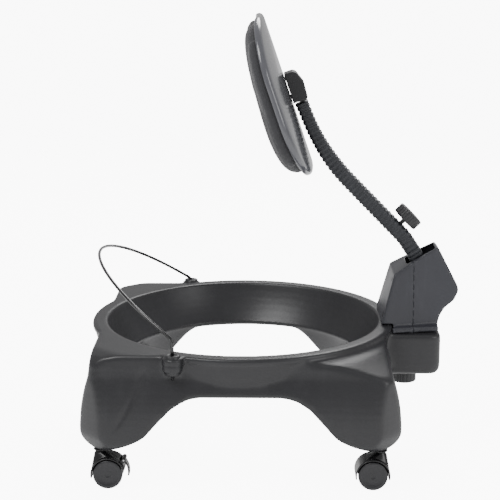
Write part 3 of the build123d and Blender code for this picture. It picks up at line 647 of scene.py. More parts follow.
def dress_node(node: str, finish: Finish, edge: float = 0.0004) -> None:
    """Finish a CAD node that keeps its own shape, easing its edges.

    Args:
        node: The CAD node.
        finish: Its finish.
        edge: How far its sharp edges are rounded, in metres.
    """
    shown = NODES[node]
    shown.data.materials.clear()
    shown.data.materials.append(finish.material())
    if edge:
        weld = shown.modifiers.new("join", "WELD")
        weld.merge_threshold = 2e-6
        ease = shown.modifiers.new("ease", "BEVEL")
        ease.limit_method = "ANGLE"
        ease.angle_limit = math.radians(35)
        ease.width = edge
        ease.segments = 2
        ease.use_clamp_overlap = True
        ease.harden_normals = False


# ---- base


@dataclass
class RingBase:
    """The ring moulding with its four legs, bosses and rear shelf."""

    voxel: float = 2.9 * MM
    wall_foot: float = 153.0 * MM
    rim_rise: Point = (217.0 * MM, 223.0 * MM)
    rim_edge: Point = (275.0 * MM, 283.0 * MM)
    wall_hold: Point = (3.0 * MM, 9.0 * MM)
    boss_hold: Point = (16.0 * MM, 24.0 * MM)
    socket_hold: Point = (8.0 * MM, 16.0 * MM)
    socket_at: float = 237.0 * MM
    true_band: Point = (166.0 * MM, 231.0 * MM)
    true_reach: float = 2.5 * MM
    ball_centre: float = 315.2 * MM
    cup: float = 261.5 * MM
    leg_rounds: int = 26
    ring_rounds: int = 2
    boss_at: Point = (-111.5 * MM, 261.5 * MM)
    fold: float = 1.5 * MM

    def build(self) -> bpy.types.Object:
        """Join the moulding's forms into one soft skin and true up the cup.

        Returns:
            The finished moulding.
        """
        piece = to_object(outer_copy("base_frame"), "ring_base")
        voxelled(piece, self.voxel)
        points = coordinates(piece)
        smoothed(piece, self.leg_rounds, self.leg_share(points))
        smoothed(piece, self.ring_rounds)
        move_to(piece, self.creased(self.trued(coordinates(piece))))
        dress(piece, FRAME_PLASTIC, ["base_frame"], "base")
        for side, name in ((-1, "left"), (1, "right")):
            self.boss(f"bar_boss_{name}", Vector((self.boss_at[0], side * self.boss_at[1], 0)))
        return piece

    def boss(self, name: str, foot: Vector) -> None:
        """Turn the stepped boss that the wire passes through.

        Args:
            name: The boss's name.
            foot: A point on its axis at floor level.
        """
        outline = [
            (3.4, 238.0), (11.6, 238.0), (13.0, 236.8), (13.2, 232.6), (14.4, 231.6), (15.2, 230.6),
            (15.2, 225.2), (16.2, 224.2), (17.0, 222.8), (17.0, 212.6), (16.2, 211.0), (13.4, 210.4),
            (13.4, 206.2), (12.2, 204.6), (3.4, 204.6),
        ]
        profile = [(radius * MM, height * MM) for radius, height in outline]
        piece = spun(name, profile, foot, Vector((0, 0, 1)), 64)
        dress(piece, FRAME_PLASTIC, [], "base")

    def creased(self, points: np.ndarray) -> np.ndarray:
        """Press a soft curved fold down the outer side of each front leg.

        Args:
            points: The moulding's points.

        Returns:
            The points, with the fold pressed in.
        """
        height = points[:, 2]
        fall = np.clip((0.226 - height) / 0.114, 0, 1.3)
        line = -0.158 - 0.048 * fall**1.5
        gap = (points[:, 0] - line) / np.where(points[:, 0] > line, 2.6 * MM, 7.0 * MM)
        reach = ramp(height, 0.098, 0.125) * (1 - ramp(height, 0.2, 0.218))
        outer = (np.abs(points[:, 1]) > 0.2) & (points[:, 0] < 0)
        depth = self.fold * np.exp(-(gap**2)) * reach * outer
        points[:, 1] -= np.sign(points[:, 1]) * depth
        return points

    def leg_share(self, points: np.ndarray) -> np.ndarray:
        """Say how freely each point may relax: the legs fully, the ring hardly.

        Args:
            points: The moulding's points.

        Returns:
            A share from 0 to 1 for each point.
        """
        radius = np.hypot(points[:, 0], points[:, 1])
        cup_gap = np.abs(np.sqrt(radius**2 + (points[:, 2] - self.ball_centre) ** 2) - self.cup)
        on_cup = 1 - ramp(cup_gap, *self.wall_hold)
        on_rim = ramp(points[:, 2], *self.rim_rise) * (1 - ramp(radius, *self.rim_edge))
        share = 1 - np.maximum(on_cup * (points[:, 2] > self.wall_foot), on_rim)
        boss = np.hypot(points[:, 0] - self.boss_at[0], np.abs(points[:, 1]) - self.boss_at[1])
        socket = np.hypot(np.abs(points[:, 0]) - self.socket_at, np.abs(points[:, 1]) - self.socket_at)
        share *= ramp(boss, *self.boss_hold) * ramp(socket, *self.socket_hold)
        return np.clip(share, 0, 1)

    def trued(self, points: np.ndarray) -> np.ndarray:
        """Bring the cup wall back onto its sphere.

        Args:
            points: The moulding's points.

        Returns:
            The points, with those near the cup wall on its sphere.
        """
        radius = np.hypot(points[:, 0], points[:, 1])
        lift = points[:, 2] - self.ball_centre
        distance = np.sqrt(radius**2 + lift**2)
        low, high = self.true_band
        near = (np.abs(distance - self.cup) < self.true_reach) & (points[:, 2] > low) & (points[:, 2] < high)
        scale = np.where(near, self.cup / distance, 1.0)
        points[:, 0] *= scale
        points[:, 1] *= scale
        points[:, 2] = self.ball_centre + lift * scale
        return points


@dataclass
class RetainingBar:
    """Bent wire that keeps the ball in the ring."""

    radius: float = 2.75 * MM
    hole: Point = (-111.5 * MM, 261.5 * MM)
    near_bend: float = 264.0 * MM
    far_bend: float = 239.3 * MM
    near_stub: float = 69.0 * MM
    far_stub: float = 48.0 * MM
    crest: Point = (-259.6 * MM, 357.3 * MM)
    bend: float = 7.0 * MM

    def route(self) -> list[Vector]:
        """Work out the wire's centre line from stub to stub.

        Returns:
            The points of the centre line.
        """
        x, y = self.hole
        near, far = Vector((x, -y, self.near_bend)), Vector((x, y, self.far_bend))
        top = Vector((self.crest[0], 0, self.crest[1]))
        middle = (near + far) / 2
        up = (top - middle)
        across = (far - near) / 2
        up_length, half = up.length, across.length
        turn = (half**2 + up_length**2) / (2 * up_length)
        centre = top - up.normalized() * turn
        half_angle = math.asin(min(1.0, half / turn))
        if up_length > turn:
            half_angle = math.pi - half_angle
        arc = []
        for step in range(61):
            angle = -half_angle + 2 * half_angle * step / 60
            arc.append(
                centre + up.normalized() * turn * math.cos(angle)
                + across.normalized() * turn * math.sin(angle)
            )
        line = [near - Vector((0, 0, self.near_stub))] + arc + [far - Vector((0, 0, self.far_stub))]
        return self.eased(line)

    def eased(self, line: list[Vector]) -> list[Vector]:
        """Round the two corners where the stubs meet the arch.

        Args:
            line: The points with sharp corners.

        Returns:
            The points with both corners rounded.
        """
        out = [line[0]]
        for index in (1, len(line) - 2):
            corner = line[index]
            before = (line[index - 1] - corner).normalized()
            after = (line[index + 1] - corner).normalized()
            start, end = corner + before * self.bend, corner + after * self.bend
            curve = [
                start.lerp(corner, t).lerp(corner.lerp(end, t), t) for t in (0.0, 0.2, 0.4, 0.6, 0.8, 1.0)
            ]
            if index == 1:
                out += curve + line[2:-2]
            else:
                out += curve
        return out + [line[-1]]

    def build(self) -> None:
        """Draw the wire along its route."""
        route = self.route()
        stations = []
        side = Vector((1, 0, 0))
        for index, point in enumerate(route):
            ahead = route[min(index + 1, len(route) - 1)] - route[max(index - 1, 0)]
            ahead.normalize()
            side = (side - ahead * side.dot(ahead)).normalized()
            turn = Matrix((side, ahead.cross(side), ahead)).transposed().to_4x4()
            stations.append((Matrix.Translation(point) @ turn, 1.0, 1.0))
        piece = drawn_along(
            "retaining_wire",
            lambda bm: bmesh.ops.create_circle(bm, segments=20, radius=self.radius)["verts"], stations,
        )
        dress(piece, WIRE_GLOSS, ["retaining_bar"], "retaining_bar")
        dress_node("bar_grommets", NYLON, 0.0005)


# ---- casters


class Corner(Enum):
    """Where a caster stands; the front ones carry a brake."""

    FRONT_RIGHT = "front_right"
    FRONT_LEFT = "front_left"
    REAR_RIGHT = "rear_right"
    REAR_LEFT = "rear_left"

    @property
    def front(self) -> bool:
        """Whether the caster is at the front."""
        return self in (Corner.FRONT_RIGHT, Corner.FRONT_LEFT)


@dataclass
class Caster:
    """One twin-wheel caster at a corner of the base."""

    corner: Corner
    voxel: float = 0.75 * MM
    trail: float = 13.0 * MM
    collar_top: float = 62.0 * MM
    collar_radius: float = 9.0 * MM
    fender_outer: float = 29.3 * MM
    fender_inner: float = 27.2 * MM
    shoulder_half: float = 15.0 * MM
    shoulder_foot: float = 6.0 * MM
    lever_foot: float = 19.0 * MM

    def build(self) -> None:
        """Build the wheels, soften the hood and finish the metal parts."""
        body = f"caster_{self.corner.value}"
        for wheel in ("inner", "outer"):
            self.wheel(f"wheel_{self.corner.value}_{wheel}")
        hood = to_object(self.filled_hood(), f"hood_{self.corner.value}")
        voxelled(hood, self.voxel)
        smoothed(hood, 5)
        dress(hood, HOOD_PLASTIC, [f"caster_hood_{self.corner.value}"], body)
        dress_node(f"caster_axle_{self.corner.value}", ZINC)
        dress_node(f"caster_stem_{self.corner.value}", ZINC, 0.0006)
        if self.corner.front:
            lever = to_object(self.short_lever(), f"lever_{self.corner.value}")
            voxelled(lever, self.voxel * 0.8)
            smoothed(lever, 4)
            dress(lever, HOOD_PLASTIC, [f"brake_lever_{self.corner.value}"], f"brake_{self.corner.value}")
            dress_node(f"brake_pin_{self.corner.value}", ZINC)

    def filled_hood(self) -> bmesh.types.BMesh:
        """Fill the hollow between the collar and the fender with one smooth shoulder.

        Returns:
            The hood with its shoulder, still overlapping.
        """
        low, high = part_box(f"wheel_{self.corner.value}_inner")
        other_low, other_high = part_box(f"wheel_{self.corner.value}_outer")
        axle = Vector(((low[0] + high[0]) / 2, (low[1] + other_high[1]) / 2, (low[2] + high[2]) / 2))
        axle.y = (min(low[1], other_low[1]) + max(high[1], other_high[1])) / 2
        heading = 1 if self.corner.front else -1
        stem = Vector((axle.x - heading * self.trail, axle.y, self.collar_top))
        shoulder = bmesh.new()
        for half in (-self.shoulder_half, self.shoulder_half):
            ring = Matrix.Translation(axle + Vector((0, half, 0))) @ Matrix.Rotation(math.pi / 2, 4, "X")
            bmesh.ops.create_circle(shoulder, segments=72, radius=self.fender_outer, matrix=ring)
        for drop, radius in ((1 * MM, self.collar_radius), (4 * MM, self.collar_radius + 2 * MM)):
            ring = Matrix.Translation(stem - Vector((0, 0, drop)))
            bmesh.ops.create_circle(shoulder, segments=36, radius=radius, matrix=ring)
        found = bmesh.ops.convex_hull(shoulder, input=shoulder.verts)
        spare = list(set(found["geom_interior"] + found["geom_unused"]))
        bmesh.ops.delete(shoulder, geom=spare, context="VERTS")
        cut_below(shoulder, axle.z + self.shoulder_foot)
        block = to_object(shoulder, "shoulder_block")
        well = bmesh.new()
        bmesh.ops.create_cone(
            well, cap_ends=True, segments=96, radius1=self.fender_inner, radius2=self.fender_inner,
            depth=0.12, matrix=Matrix.Translation(axle) @ Matrix.Rotation(math.pi / 2, 4, "X"),
        )
        cutter = to_object(well, "wheel_well")
        hollow = block.modifiers.new("well", "BOOLEAN")
        hollow.operation, hollow.object, hollow.solver = "DIFFERENCE", cutter, "EXACT"
        bake(block)
        bm = outer_copy(f"caster_hood_{self.corner.value}")
        bm.from_mesh(block.data)
        for helper in (block, cutter):
            bpy.data.objects.remove(helper)
        return bm

    def short_lever(self) -> bmesh.types.BMesh:
        """Copy the brake lever and trim it to the length of a toe tab.

        Returns:
            The trimmed lever.
        """
        bm = outer_copy(f"brake_lever_{self.corner.value}")
        cut_below(bm, self.lever_foot)
        return bm

    def wheel(self, node: str) -> None:
        """Turn one wheel with a dished face, a rounded tread and a moulded rib.

        Args:
            node: The CAD wheel that it replaces.
        """
        low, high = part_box(node)
        centre = (Vector(low) + Vector(high)) / 2
        radius = (high[2] - low[2]) / 2
        half = (high[1] - low[1]) / 2
        outward = 1.0 if self.faces_out(node) else -1.0
        r, h = radius, half
        profile = [
            (0.0, h - 1.3 * MM), (0.18 * r, h - 1.3 * MM), (0.2 * r, h - 0.9 * MM), (0.24 * r, h - 0.9 * MM),
            (0.27 * r, h - 1.1 * MM), (0.74 * r, h - 0.8 * MM), (0.77 * r, h - 0.2 * MM),
            (0.8 * r, h), (0.93 * r, h), (0.97 * r, h - 0.5 * MM), (0.992 * r, h - 1.4 * MM),
            (r, h - 2.6 * MM),
            (r, -h + 2.4 * MM), (0.985 * r, -h + 0.8 * MM), (0.95 * r, -h), (0.83 * r, -h),
            (0.82 * r, h - 3.6 * MM), (0.27 * r, h - 3.6 * MM), (0.26 * r, -h + 0.1 * MM),
            (0.125 * r, -h + 0.1 * MM),
            (0.122 * r, h - 2.4 * MM), (0.0, h - 2.4 * MM),
        ]
        piece = spun(node.replace("wheel_", "roller_"), profile, centre, Vector((0, outward, 0)), 80, False)
        dress(piece, WHEEL_PLASTIC, [node], node)

    @staticmethod
    def faces_out(node: str) -> bool:
        """Say whether a wheel's plain face points along +Y.

        Args:
            node: The CAD wheel.

        Returns:
            True where its plain face points along +Y.
        """
        low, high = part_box(node)
        twin = node.replace("inner", "outer") if "inner" in node else node.replace("outer", "inner")
        other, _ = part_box(twin)
        return low[1] > other[1]


# ---- bracket, stem and knobs


@dataclass
class Housing:
    """Two-piece moulded cover over the bracket at the foot of the stem."""

    voxel: float = 1.4 * MM
    rounds: int = 40
    seam: float = 306.0 * MM
    hairline: float = 0.08 * MM

    def build(self) -> None:
        """Soften both halves, so that a fine groove shows where they meet."""
        for node in ("housing_front", "housing_rear"):
            piece = to_object(outer_copy(node), node.replace("housing", "cover"))
            voxelled(piece, self.voxel)
            away = np.abs(coordinates(piece)[:, 0] - self.seam)
            smoothed(piece, self.rounds, ramp(away, 1.5 * MM, 7 * MM))
            move_to(piece, self.closed_up(coordinates(piece), -1.0 if node == "housing_front" else 1.0))
            dress(piece, HOUSING_PLASTIC, [node], "base")
        dress_node("housing_screws", BLACK_STEEL, 0.0003)
        for node in ("bracket_core", "guide_channel", "guide_strap", "lower_bar"):
            dress_node(node, POWDER_COAT)
        for node in ("core_nut", "bar_bolts", "bar_nuts", "base_knob_stud", "base_knob_washer"):
            dress_node(node, BLACK_STEEL)
        dress_node("caster_sockets", NYLON, 0.0006)

    def closed_up(self, points: np.ndarray, side: float) -> np.ndarray:
        """Bring a half's mating face back to the seam, so that only a hairline is left.

        Args:
            points: The half's points.
            side: Which side of the seam it is on, -1 or 1.

        Returns:
            The points, with the mating face flat.
        """
        behind = (points[:, 0] - self.seam) * side
        close = np.abs(behind) < 2.2 * MM
        points[close, 0] = self.seam + side * self.hairline
        return points


@dataclass
class Knob:
    """Moulded hand knob with finger grooves."""

    node: str
    body: str
    axis: tuple[float, float, float]
    grooves: int = 22
    depth: float = 0.9 * MM

    def build(self) -> None:
        """Turn the knob and press its grooves in."""
        source = coordinates(NODES[self.node])
        axis = Vector(self.axis).normalized()
        along = source @ np.array(axis)
        low, high = along.min(), along.max()
        centre = Vector(source.mean(axis=0))
        centre = centre + axis * ((low + high) / 2 - centre.dot(axis))
        lateral = source - np.outer(along, np.array(axis))
        middle = np.array(centre - axis * centre.dot(axis))
        radius = np.linalg.norm(lateral - middle, axis=1).max()
        self.turned(centre, axis, radius, (high - low) / 2)

    def turned(self, centre: Vector, axis: Vector, radius: float, half: float) -> None:
        """Build the knob's solid of revolution, groove it and finish it.

        Args:
            centre: Its middle.
            axis: Its turning axis.
            radius: Its outer radius.
            half: Half its thickness.
        """
        r, h = radius, half
        profile = [
            (0.0, h - 0.8 * MM), (0.55 * r, h - 0.8 * MM), (0.62 * r, h - 0.1 * MM), (0.9 * r, h),
            (0.97 * r, h - 0.7 * MM), (r, h - 2 * MM), (r, h - 5 * MM), (r, 0.0), (r, -h + 5 * MM),
            (r, -h + 2 * MM), (0.97 * r, -h + 0.6 * MM), (0.93 * r, -h), (0.4 * r, -h), (0.0, -h),
        ]
        piece = spun(self.node.replace("knob", "grip"), profile, centre, axis, self.grooves * 8, False)
        points = coordinates(piece)
        direction = np.array(axis)
        away = points - np.array(centre)
        height = away @ direction
        lateral = away - np.outer(height, direction)
        distance = np.linalg.norm(lateral, axis=1)
        side = np.array(axis.orthogonal().normalized())
        angle = np.arctan2(lateral @ np.cross(direction, side), lateral @ side)
        groove = np.clip(np.cos(angle * self.grooves), 0, 1) ** 1.5 * ramp(distance, 0.9 * r, 0.985 * r)
        shrink = 1 - groove * self.depth / np.maximum(distance, 1e-6)
        move_to(piece, np.array(centre) + np.outer(height, direction) + lateral * shrink[:, None])
        dress(piece, KNOB_PLASTIC, [self.node], self.body)


@dataclass
class Stem:
    """Side-plane line of the stem, and the corrugated sleeve over it."""

    low_bend: Point = (291.5 * MM, 382.3 * MM)
    pivot: Point = (91.37 * MM, 655.81 * MM)
    slopes: tuple[float, float, float] = (57.0, 45.6, 67.2)
    radii: Point = (60.0 * MM, 360.0 * MM)
    foot: float = 40.0 * MM
    drop: float = 30.5 * MM
    width: float = 44.0 * MM
    thickness: float = 28.0 * MM
    narrow: float = 24.5 * MM
    corner: float = 8.0 * MM
    pitch: float = 9.0 * MM
    spacing: float = 1.5 * MM
    rib: float = 2.0 * MM

    def corners(self) -> list[Vector]:
        """Corner points of the line before its bends are rounded.

        Returns:
            The four corner points, in the side plane.
        """
        up = [Vector((-math.cos(math.radians(s)), math.sin(math.radians(s)))) for s in self.slopes]
        low, top = Vector(self.low_bend), Vector(self.pivot)
        gap = top - low
        run = (gap.x * up[2].y - gap.y * up[2].x) / (up[1].x * up[2].y - up[1].y * up[2].x)
        return [low - up[0] * self.foot, low, low + up[1] * run, top - up[2] * self.drop]

    def line(self) -> list[tuple[Vector, Vector]]:
        """Points and directions evenly spaced along the rounded line.

        Returns:
            Pairs of point and direction in the side plane.
        """
        corners = self.corners()
        dense = [corners[0]]
        for before, corner, after, radius in zip(corners, corners[1:], corners[2:], self.radii):
            back, ahead = (before - corner).normalized(), (after - corner).normalized()
            turn = math.pi - back.angle(ahead)
            cut = radius * math.tan(turn / 2)
            start, end = corner + back * cut, corner + ahead * cut
            centre = corner + (back + ahead).normalized() * radius / math.cos(turn / 2)
            for step in range(33):
                guess = start.lerp(end, step / 32) - centre
                dense.append(centre + guess.normalized() * radius)
        dense.append(corners[-1])
        out, carry = [], 0.0
        for a, b in zip(dense, dense[1:]):
            length = (b - a).length
            if length < 1e-9:
                continue
            place = carry
            while place < length:
                out.append((a.lerp(b, place / length), (b - a).normalized()))
                place += self.spacing
            carry = place - length
        return out

    def section(self, bm: bmesh.types.BMesh) -> list:
        """Rounded-rectangle section of the sleeve.

        Args:
            bm: The mesh to add it to.

        Returns:
            The section's vertices.
        """
        verts = bmesh.ops.create_circle(bm, segments=56, radius=1.0)["verts"]
        half_w, half_t = self.width / 2, self.thickness / 2
        for vert in verts:
            angle = math.atan2(vert.co.y, vert.co.x)
            c, s = math.cos(angle), math.sin(angle)
            power = 5.0
            scale = (abs(c) ** power + abs(s) ** power) ** (-1 / power)
            vert.co = Vector((c * scale * half_w, s * scale * half_t, 0))
        return verts

    def build(self) -> None:
        """Draw the ribbed sleeve along the stem's line."""
        line = self.line()
        stations = []
        total = len(line) * self.spacing
        for index, (point, ahead) in enumerate(line):
            along = index * self.spacing
            end = min(along, total - along)
            phase = math.cos(math.tau * along / self.pitch)
            inset = self.rib * (0.5 - 0.5 * math.copysign(abs(phase) ** 0.55, phase))
            if end < 5 * MM:
                inset = 0.2 * MM
            direction = Vector((ahead.x, 0, ahead.y))
            across = Vector((0, 1, 0))
            turn = Matrix((across, direction.cross(across), direction)).transposed().to_4x4()
            place = Matrix.Translation((point.x, 0, point.y)) @ turn
            share = min(1.0, max(0.0, along / total * 3.2 - 1.9))
            depth = self.thickness + (self.narrow - self.thickness) * share * share * (3 - 2 * share)
            stations.append((place, 1 - 2 * inset / self.width, (depth - 2 * inset) / self.thickness))
        piece = drawn_along("ribbed_sleeve", self.section, stations)
        dress(piece, SLEEVE_RUBBER, ["bellows_sleeve"])
        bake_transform(piece)
        dress_node("upper_bar", POWDER_COAT)
        dress_node("height_knob_stud", KNOB_PLASTIC)
        dress_node("clamp_pad", NYLON, 0.0)


# ---- backrest


@dataclass
class Backrest:
    """Padded backrest: moulded shell, board, cushion, pivot and its cover."""

    middle: Point = (81.0 * MM, 647.5 * MM)
    half_length: float = 142.5 * MM
    half_width: float = 182.0 * MM
    corner: float = 112.0 * MM
    wrap: float = 900.0 * MM
    shell_depth: float = 11.0 * MM
    pad_border: float = 5.0 * MM
    pad_back: float = 10.6 * MM
    pad_front: float = 39.0 * MM
    pad_edge: float = 30.0 * MM
    pad_wedge: float = 5.0 * MM
    segments: int = 144

    def placed(self, out: float, across: float, up: float) -> Vector:
        """Put a point given by depth, side and height on the curved, leaning backrest.

        Args:
            out: Depth, outwards from the back face.
            across: Sideways distance.
            up: Distance up the leaning face.

        Returns:
            The point.
        """
        radius = self.wrap + out
        m = math.sqrt(max(radius**2 - across**2, 0.0)) - self.wrap
        x = self.middle[0] + m * math.cos(LEAN) - up * math.sin(LEAN)
        z = self.middle[1] + m * math.sin(LEAN) + up * math.cos(LEAN)
        return Vector((x, across, z))

    def outline(self, border: float, index: int) -> Point:
        """Point of the face outline, less a border, at an even share of the turn.

        Args:
            border: How far inside the edge it runs.
            index: Which share of the turn.

        Returns:
            Distance across and up.
        """
        half_w, half_l = self.half_width - border, self.half_length - border
        corner = max(min(self.corner - border, half_w, half_l), 1 * MM)
        angle = math.tau * (index + 0.5) / self.segments
        c, s = math.cos(angle), math.sin(angle)
        inner_w, inner_l = half_w - corner, half_l - corner
        low, high = 0.0, 2 * half_w
        for _ in range(34):
            reach = (low + high) / 2
            dx, dy = max(abs(c) * reach - inner_w, 0.0), max(abs(s) * reach - inner_l, 0.0)
            low, high = (reach, high) if math.hypot(dx, dy) < corner else (low, reach)
        return c * low, s * low

    def dished(self, name: str, stations: Sequence[Point]) -> bpy.types.Object:
        """Grow a closed form over the outline through borders and depths.

        Args:
            name: The new piece's name.
            stations: Border and depth pairs from one middle to the other.

        Returns:
            The form, closed at both ends.
        """
        bm = bmesh.new()
        verts = bmesh.ops.create_circle(bm, segments=self.segments, radius=1.0)["verts"]
        edges = list(bm.edges)
        for number, (border, out) in enumerate(stations):
            if number:
                verts, edges = grown_ring(bm, verts, edges)
            else:
                bmesh.ops.contextual_create(bm, geom=edges)
            for index, vert in enumerate(verts):
                across, up = self.outline(border, index)
                vert.co = self.placed(out, across, up)
        bmesh.ops.contextual_create(bm, geom=edges)
        bmesh.ops.recalc_face_normals(bm, faces=bm.faces)
        return to_object(bm, name)

    def shell(self) -> None:
        """Model the tray-shaped shell with its rolled lip."""
        depth = self.shell_depth
        stations = [
            (118 * MM, -4.2 * MM), (40 * MM, -4.2 * MM), (8 * MM, -4.2 * MM), (4.6 * MM, -5.4 * MM),
            (3.6 * MM, -8 * MM), (3.2 * MM, -depth + 0.8 * MM), (2.4 * MM, -depth), (1.2 * MM, -depth),
            (0.3 * MM, -depth + 1.2 * MM), (0.0, -depth + 3.5 * MM), (0.2 * MM, -5.5 * MM),
            (1.1 * MM, -3.2 * MM), (2.8 * MM, -1.5 * MM), (5.5 * MM, -0.5 * MM), (10 * MM, 0.0),
            (24 * MM, 0.0), (45 * MM, 0.0), (70 * MM, 0.0), (95 * MM, 0.0), (120 * MM, 0.0), (140 * MM, 0.0),
        ]
        piece = self.dished("moulded_shell", stations)
        dress(piece, SHELL_PLASTIC, ["back_shell"], "backrest")

    def cushion(self) -> None:
        """Stuff the cushion by a cloth simulation and sew its edge."""
        back, edge, front = -self.pad_back, -self.pad_edge, -self.pad_front
        border = self.pad_border
        stations = [
            (110 * MM, back), (60 * MM, back), (border + 12 * MM, back), (border + 4 * MM, back),
            (border + 1 * MM, back - 1 * MM), (border, back - 3 * MM), (border + 0.5 * MM, edge + 9 * MM),
            (border + 3 * MM, edge + 4 * MM), (border + 8 * MM, edge - 1 * MM),
            (border + 16 * MM, edge - 4 * MM), (border + 28 * MM, edge - 6.5 * MM),
            (border + 50 * MM, front), (border + 85 * MM, front - 1 * MM), (140 * MM, front - 1.5 * MM),
        ]
        piece = self.dished("back_cushion", stations)
        move_to(piece, self.wedged(coordinates(piece)))
        voxelled(piece, 4.5 * MM)
        self.stuffed(piece)
        smoothed(piece, 2)
        rounder = piece.modifiers.new("round", "SUBSURF")
        rounder.levels = rounder.render_levels = 1
        bake(piece)
        move_to(piece, self.sewn(coordinates(piece)))
        dress(piece, PAD_CLOTH, ["pad_cushion"], "backrest")

    def spread_out(self, points: np.ndarray) -> tuple[np.ndarray, np.ndarray]:
        """Find how far up and how far out from the shell's back each point lies.

        Args:
            points: Points on the backrest.

        Returns:
            How far up each point is, and how far out.
        """
        local_x = points[:, 0] - self.middle[0]
        local_z = points[:, 2] - self.middle[1]
        up = -local_x * math.sin(LEAN) + local_z * math.cos(LEAN)
        flat = local_x * math.cos(LEAN) + local_z * math.sin(LEAN)
        return up, np.hypot(flat + self.wrap, points[:, 1]) - self.wrap

    def wedged(self, points: np.ndarray) -> np.ndarray:
        """Make the padding thicker towards its lower edge.

        Args:
            points: The cushion's points.

        Returns:
            The points, thicker towards the lower edge.
        """
        up, out = self.spread_out(points)
        front = ramp(-out, self.pad_back + 2 * MM, self.pad_front)
        push = -front * self.pad_wedge * np.clip(-up / self.half_length, -0.4, 0.8)
        points[:, 0] += push * math.cos(LEAN)
        points[:, 2] += push * math.sin(LEAN)
        return points

    def stuffed(self, piece: bpy.types.Object) -> None:
        """Swell the cover with pressure, and limit how far each point goes.

        Args:
            piece: The evened cushion; its mesh takes the result.
        """
        rest = coordinates(piece)
        cloth = piece.modifiers.new("stuffing", "CLOTH")
        cloth.settings.use_pressure = True
        cloth.settings.uniform_pressure_force = 4.0
        cloth.settings.effector_weights.gravity = 0.0
        cloth.point_cache.frame_start, cloth.point_cache.frame_end = 1, 20
        for number in range(1, 21):
            bpy.context.scene.frame_set(number)
        bake(piece)
        bpy.context.scene.frame_set(1)
        moved = coordinates(piece) - rest
        reach = np.linalg.norm(moved, axis=1)
        out = np.array((math.cos(LEAN), 0.0, math.sin(LEAN)))
        limit = np.where(moved @ out > 0, 0.6 * MM, 5.0 * MM)
        share = np.minimum(1.0, limit / np.maximum(reach, 1e-9))
        move_to(piece, rest + moved * share[:, None])

    def sewn(self, points: np.ndarray) -> np.ndarray:
        """Draw the cover in along the seam that joins its front to its side band.

        Args:
            points: The cushion's points.

        Returns:
            The points, drawn in along the seam.
        """
        up, out = self.spread_out(points)
        seam = -(self.pad_edge - 1.0 * MM)
        closeness = np.exp(-(((out - seam) / (1.1 * MM)) ** 2))
        half_w, half_l = self.half_width - self.pad_border, self.half_length - self.pad_border
        spread = np.maximum(np.abs(points[:, 1]) / half_w, np.abs(up) / half_l)
        at_edge = ramp(spread, 0.5, 0.75)
        flat = np.stack([points[:, 1], up], axis=1)
        flat /= np.maximum(np.linalg.norm(flat, axis=1, keepdims=True), 1e-9)
        pull = closeness * at_edge * 0.9 * MM
        points[:, 1] -= flat[:, 0] * pull
        points[:, 0] += flat[:, 1] * pull * math.sin(LEAN)
        points[:, 2] -= flat[:, 1] * pull * math.cos(LEAN)
        return points

    def pivot_parts(self) -> None:
        """Soften the pivot cover and finish the metal behind it."""
        cover = to_object(outer_copy("pivot_cover"), "pivot_cap")
        voxelled(cover, 0.9 * MM)
        smoothed(cover, 6)
        dress(cover, KNOB_PLASTIC, ["pivot_cover"], "backrest")
        dress_node("pivot_bracket", POWDER_COAT)
        dress_node("pivot_bushes", NYLON, 0.0002)
        for node in ("pivot_bolt", "pivot_clip", "bracket_screws"):
            dress_node(node, ZINC, 0.0002)
        dress_node("pad_board", PAD_CLOTH, 0.0)

    def build(self) -> None:
        """Build the whole backrest."""
        self.shell()
        self.cushion()
        self.pivot_parts()


# ---- room


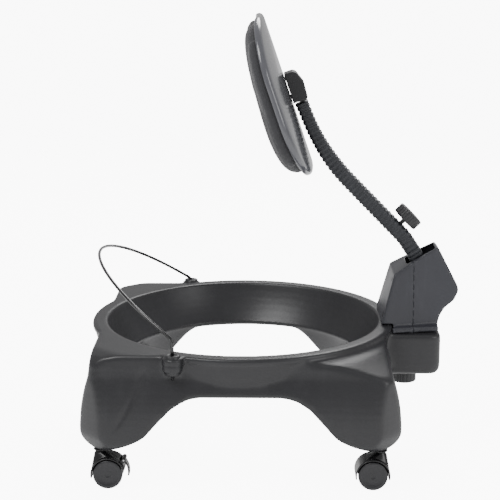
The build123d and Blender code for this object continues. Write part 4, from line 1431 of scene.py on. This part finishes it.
@dataclass
class Studio:
    """Pale floor, soft lights and the camera."""

    camera_at: tuple[float, float, float] = (0.05369, -2.39062, 0.89569)
    pitch: float = 0.22143
    yaw: float = 0.01734
    lens: float = 97.05
    white: float = 9.0
    floor_glow: float = 0.4
    sky_glow: float = 0.5

    def build(self) -> None:
        """Set the floor, the world, the lights and the camera."""
        self.floor()
        self.sky()
        self.lamp("key", (-1.1, -1.2, 2.5), 1.3, 42.0)
        self.lamp("fill", (2.4, -1.6, 1.5), 1.4, 20.0)
        self.lamp("back", (0.6, 2.0, 2.3), 1.5, 46.0)
        self.camera()

    def floor(self) -> None:
        """Lay a large flat pale floor."""
        bm = bmesh.new()
        bmesh.ops.create_grid(bm, x_segments=2, y_segments=2, size=60.0)
        piece = to_object(bm, "floor")
        finish = bpy.data.materials.new("pale_floor")
        finish.use_nodes = True
        surface = finish.node_tree.nodes["Principled BSDF"]
        surface.inputs["Base Color"].default_value = (0.92, 0.92, 0.92, 1)
        surface.inputs["Roughness"].default_value = 0.8
        surface.inputs["Emission Color"].default_value = (1, 1, 1, 1)
        self.bright_to_camera(finish.node_tree, surface.inputs["Emission Strength"], self.floor_glow)
        piece.data.materials.append(finish)

    def sky(self) -> None:
        """Light the scene evenly from all round."""
        world = bpy.data.worlds.new("studio")
        bpy.context.scene.world = world
        world.use_nodes = True
        background = world.node_tree.nodes["Background"]
        background.inputs["Color"].default_value = (1, 1, 1, 1)
        self.bright_to_camera(world.node_tree, background.inputs["Strength"], self.sky_glow)

    def bright_to_camera(self, tree: bpy.types.NodeTree, strength: bpy.types.NodeSocket, glow: float) -> None:
        """Let a backdrop look white while it lights the chair only softly.

        Args:
            tree: The backdrop's nodes.
            strength: The socket that sets how brightly it glows.
            glow: The strength with which it lights the chair.
        """
        path = tree.nodes.new("ShaderNodeLightPath")
        choice = tree.nodes.new("ShaderNodeMapRange")
        choice.inputs["To Min"].default_value = glow
        choice.inputs["To Max"].default_value = self.white
        tree.links.new(path.outputs["Is Camera Ray"], choice.inputs["Value"])
        tree.links.new(choice.outputs["Result"], strength)

    def lamp(self, name: str, place: tuple[float, float, float], size: float, power: float) -> None:
        """Hang one soft lamp that points at the chair.

        Args:
            name: The lamp's name.
            place: Where it hangs.
            size: The width of its face.
            power: Its power, in watts.
        """
        data = bpy.data.lights.new(name, "AREA")
        data.energy, data.size = power, size
        lamp = bpy.data.objects.new(name, data)
        lamp.location = place
        lamp.rotation_euler = (Vector((0, 0, 0.35)) - Vector(place)).to_track_quat("-Z", "Y").to_euler()
        bpy.context.scene.collection.objects.link(lamp)

    def camera(self) -> None:
        """Stand the camera in front of the chair's side."""
        data = bpy.data.cameras.new("camera")
        data.lens, data.sensor_width = self.lens, 36.0
        camera = bpy.data.objects.new("camera", data)
        camera.location = self.camera_at
        camera.rotation_euler = (math.pi / 2 - self.pitch, 0.0, self.yaw)
        bpy.context.scene.collection.objects.link(camera)
        bpy.context.scene.camera = camera


def main() -> None:
    """Build every sub-assembly and note the sizes."""
    logging.basicConfig(level=logging.INFO, format="%(message)s")
    Studio().build()
    RingBase().build()
    RetainingBar().build()
    for corner in Corner:
        Caster(corner).build()
    Housing().build()
    slope = math.radians(Stem.slopes[1])
    Knob("height_knob", "height_knob", (math.sin(slope), 0.0, math.cos(slope)), 22).build()
    Knob("base_knob", "base_knob", (0.0, 0.0, -1.0), 20).build()
    Stem().build()
    Backrest().build()


if __name__ == "__main__":
    main()
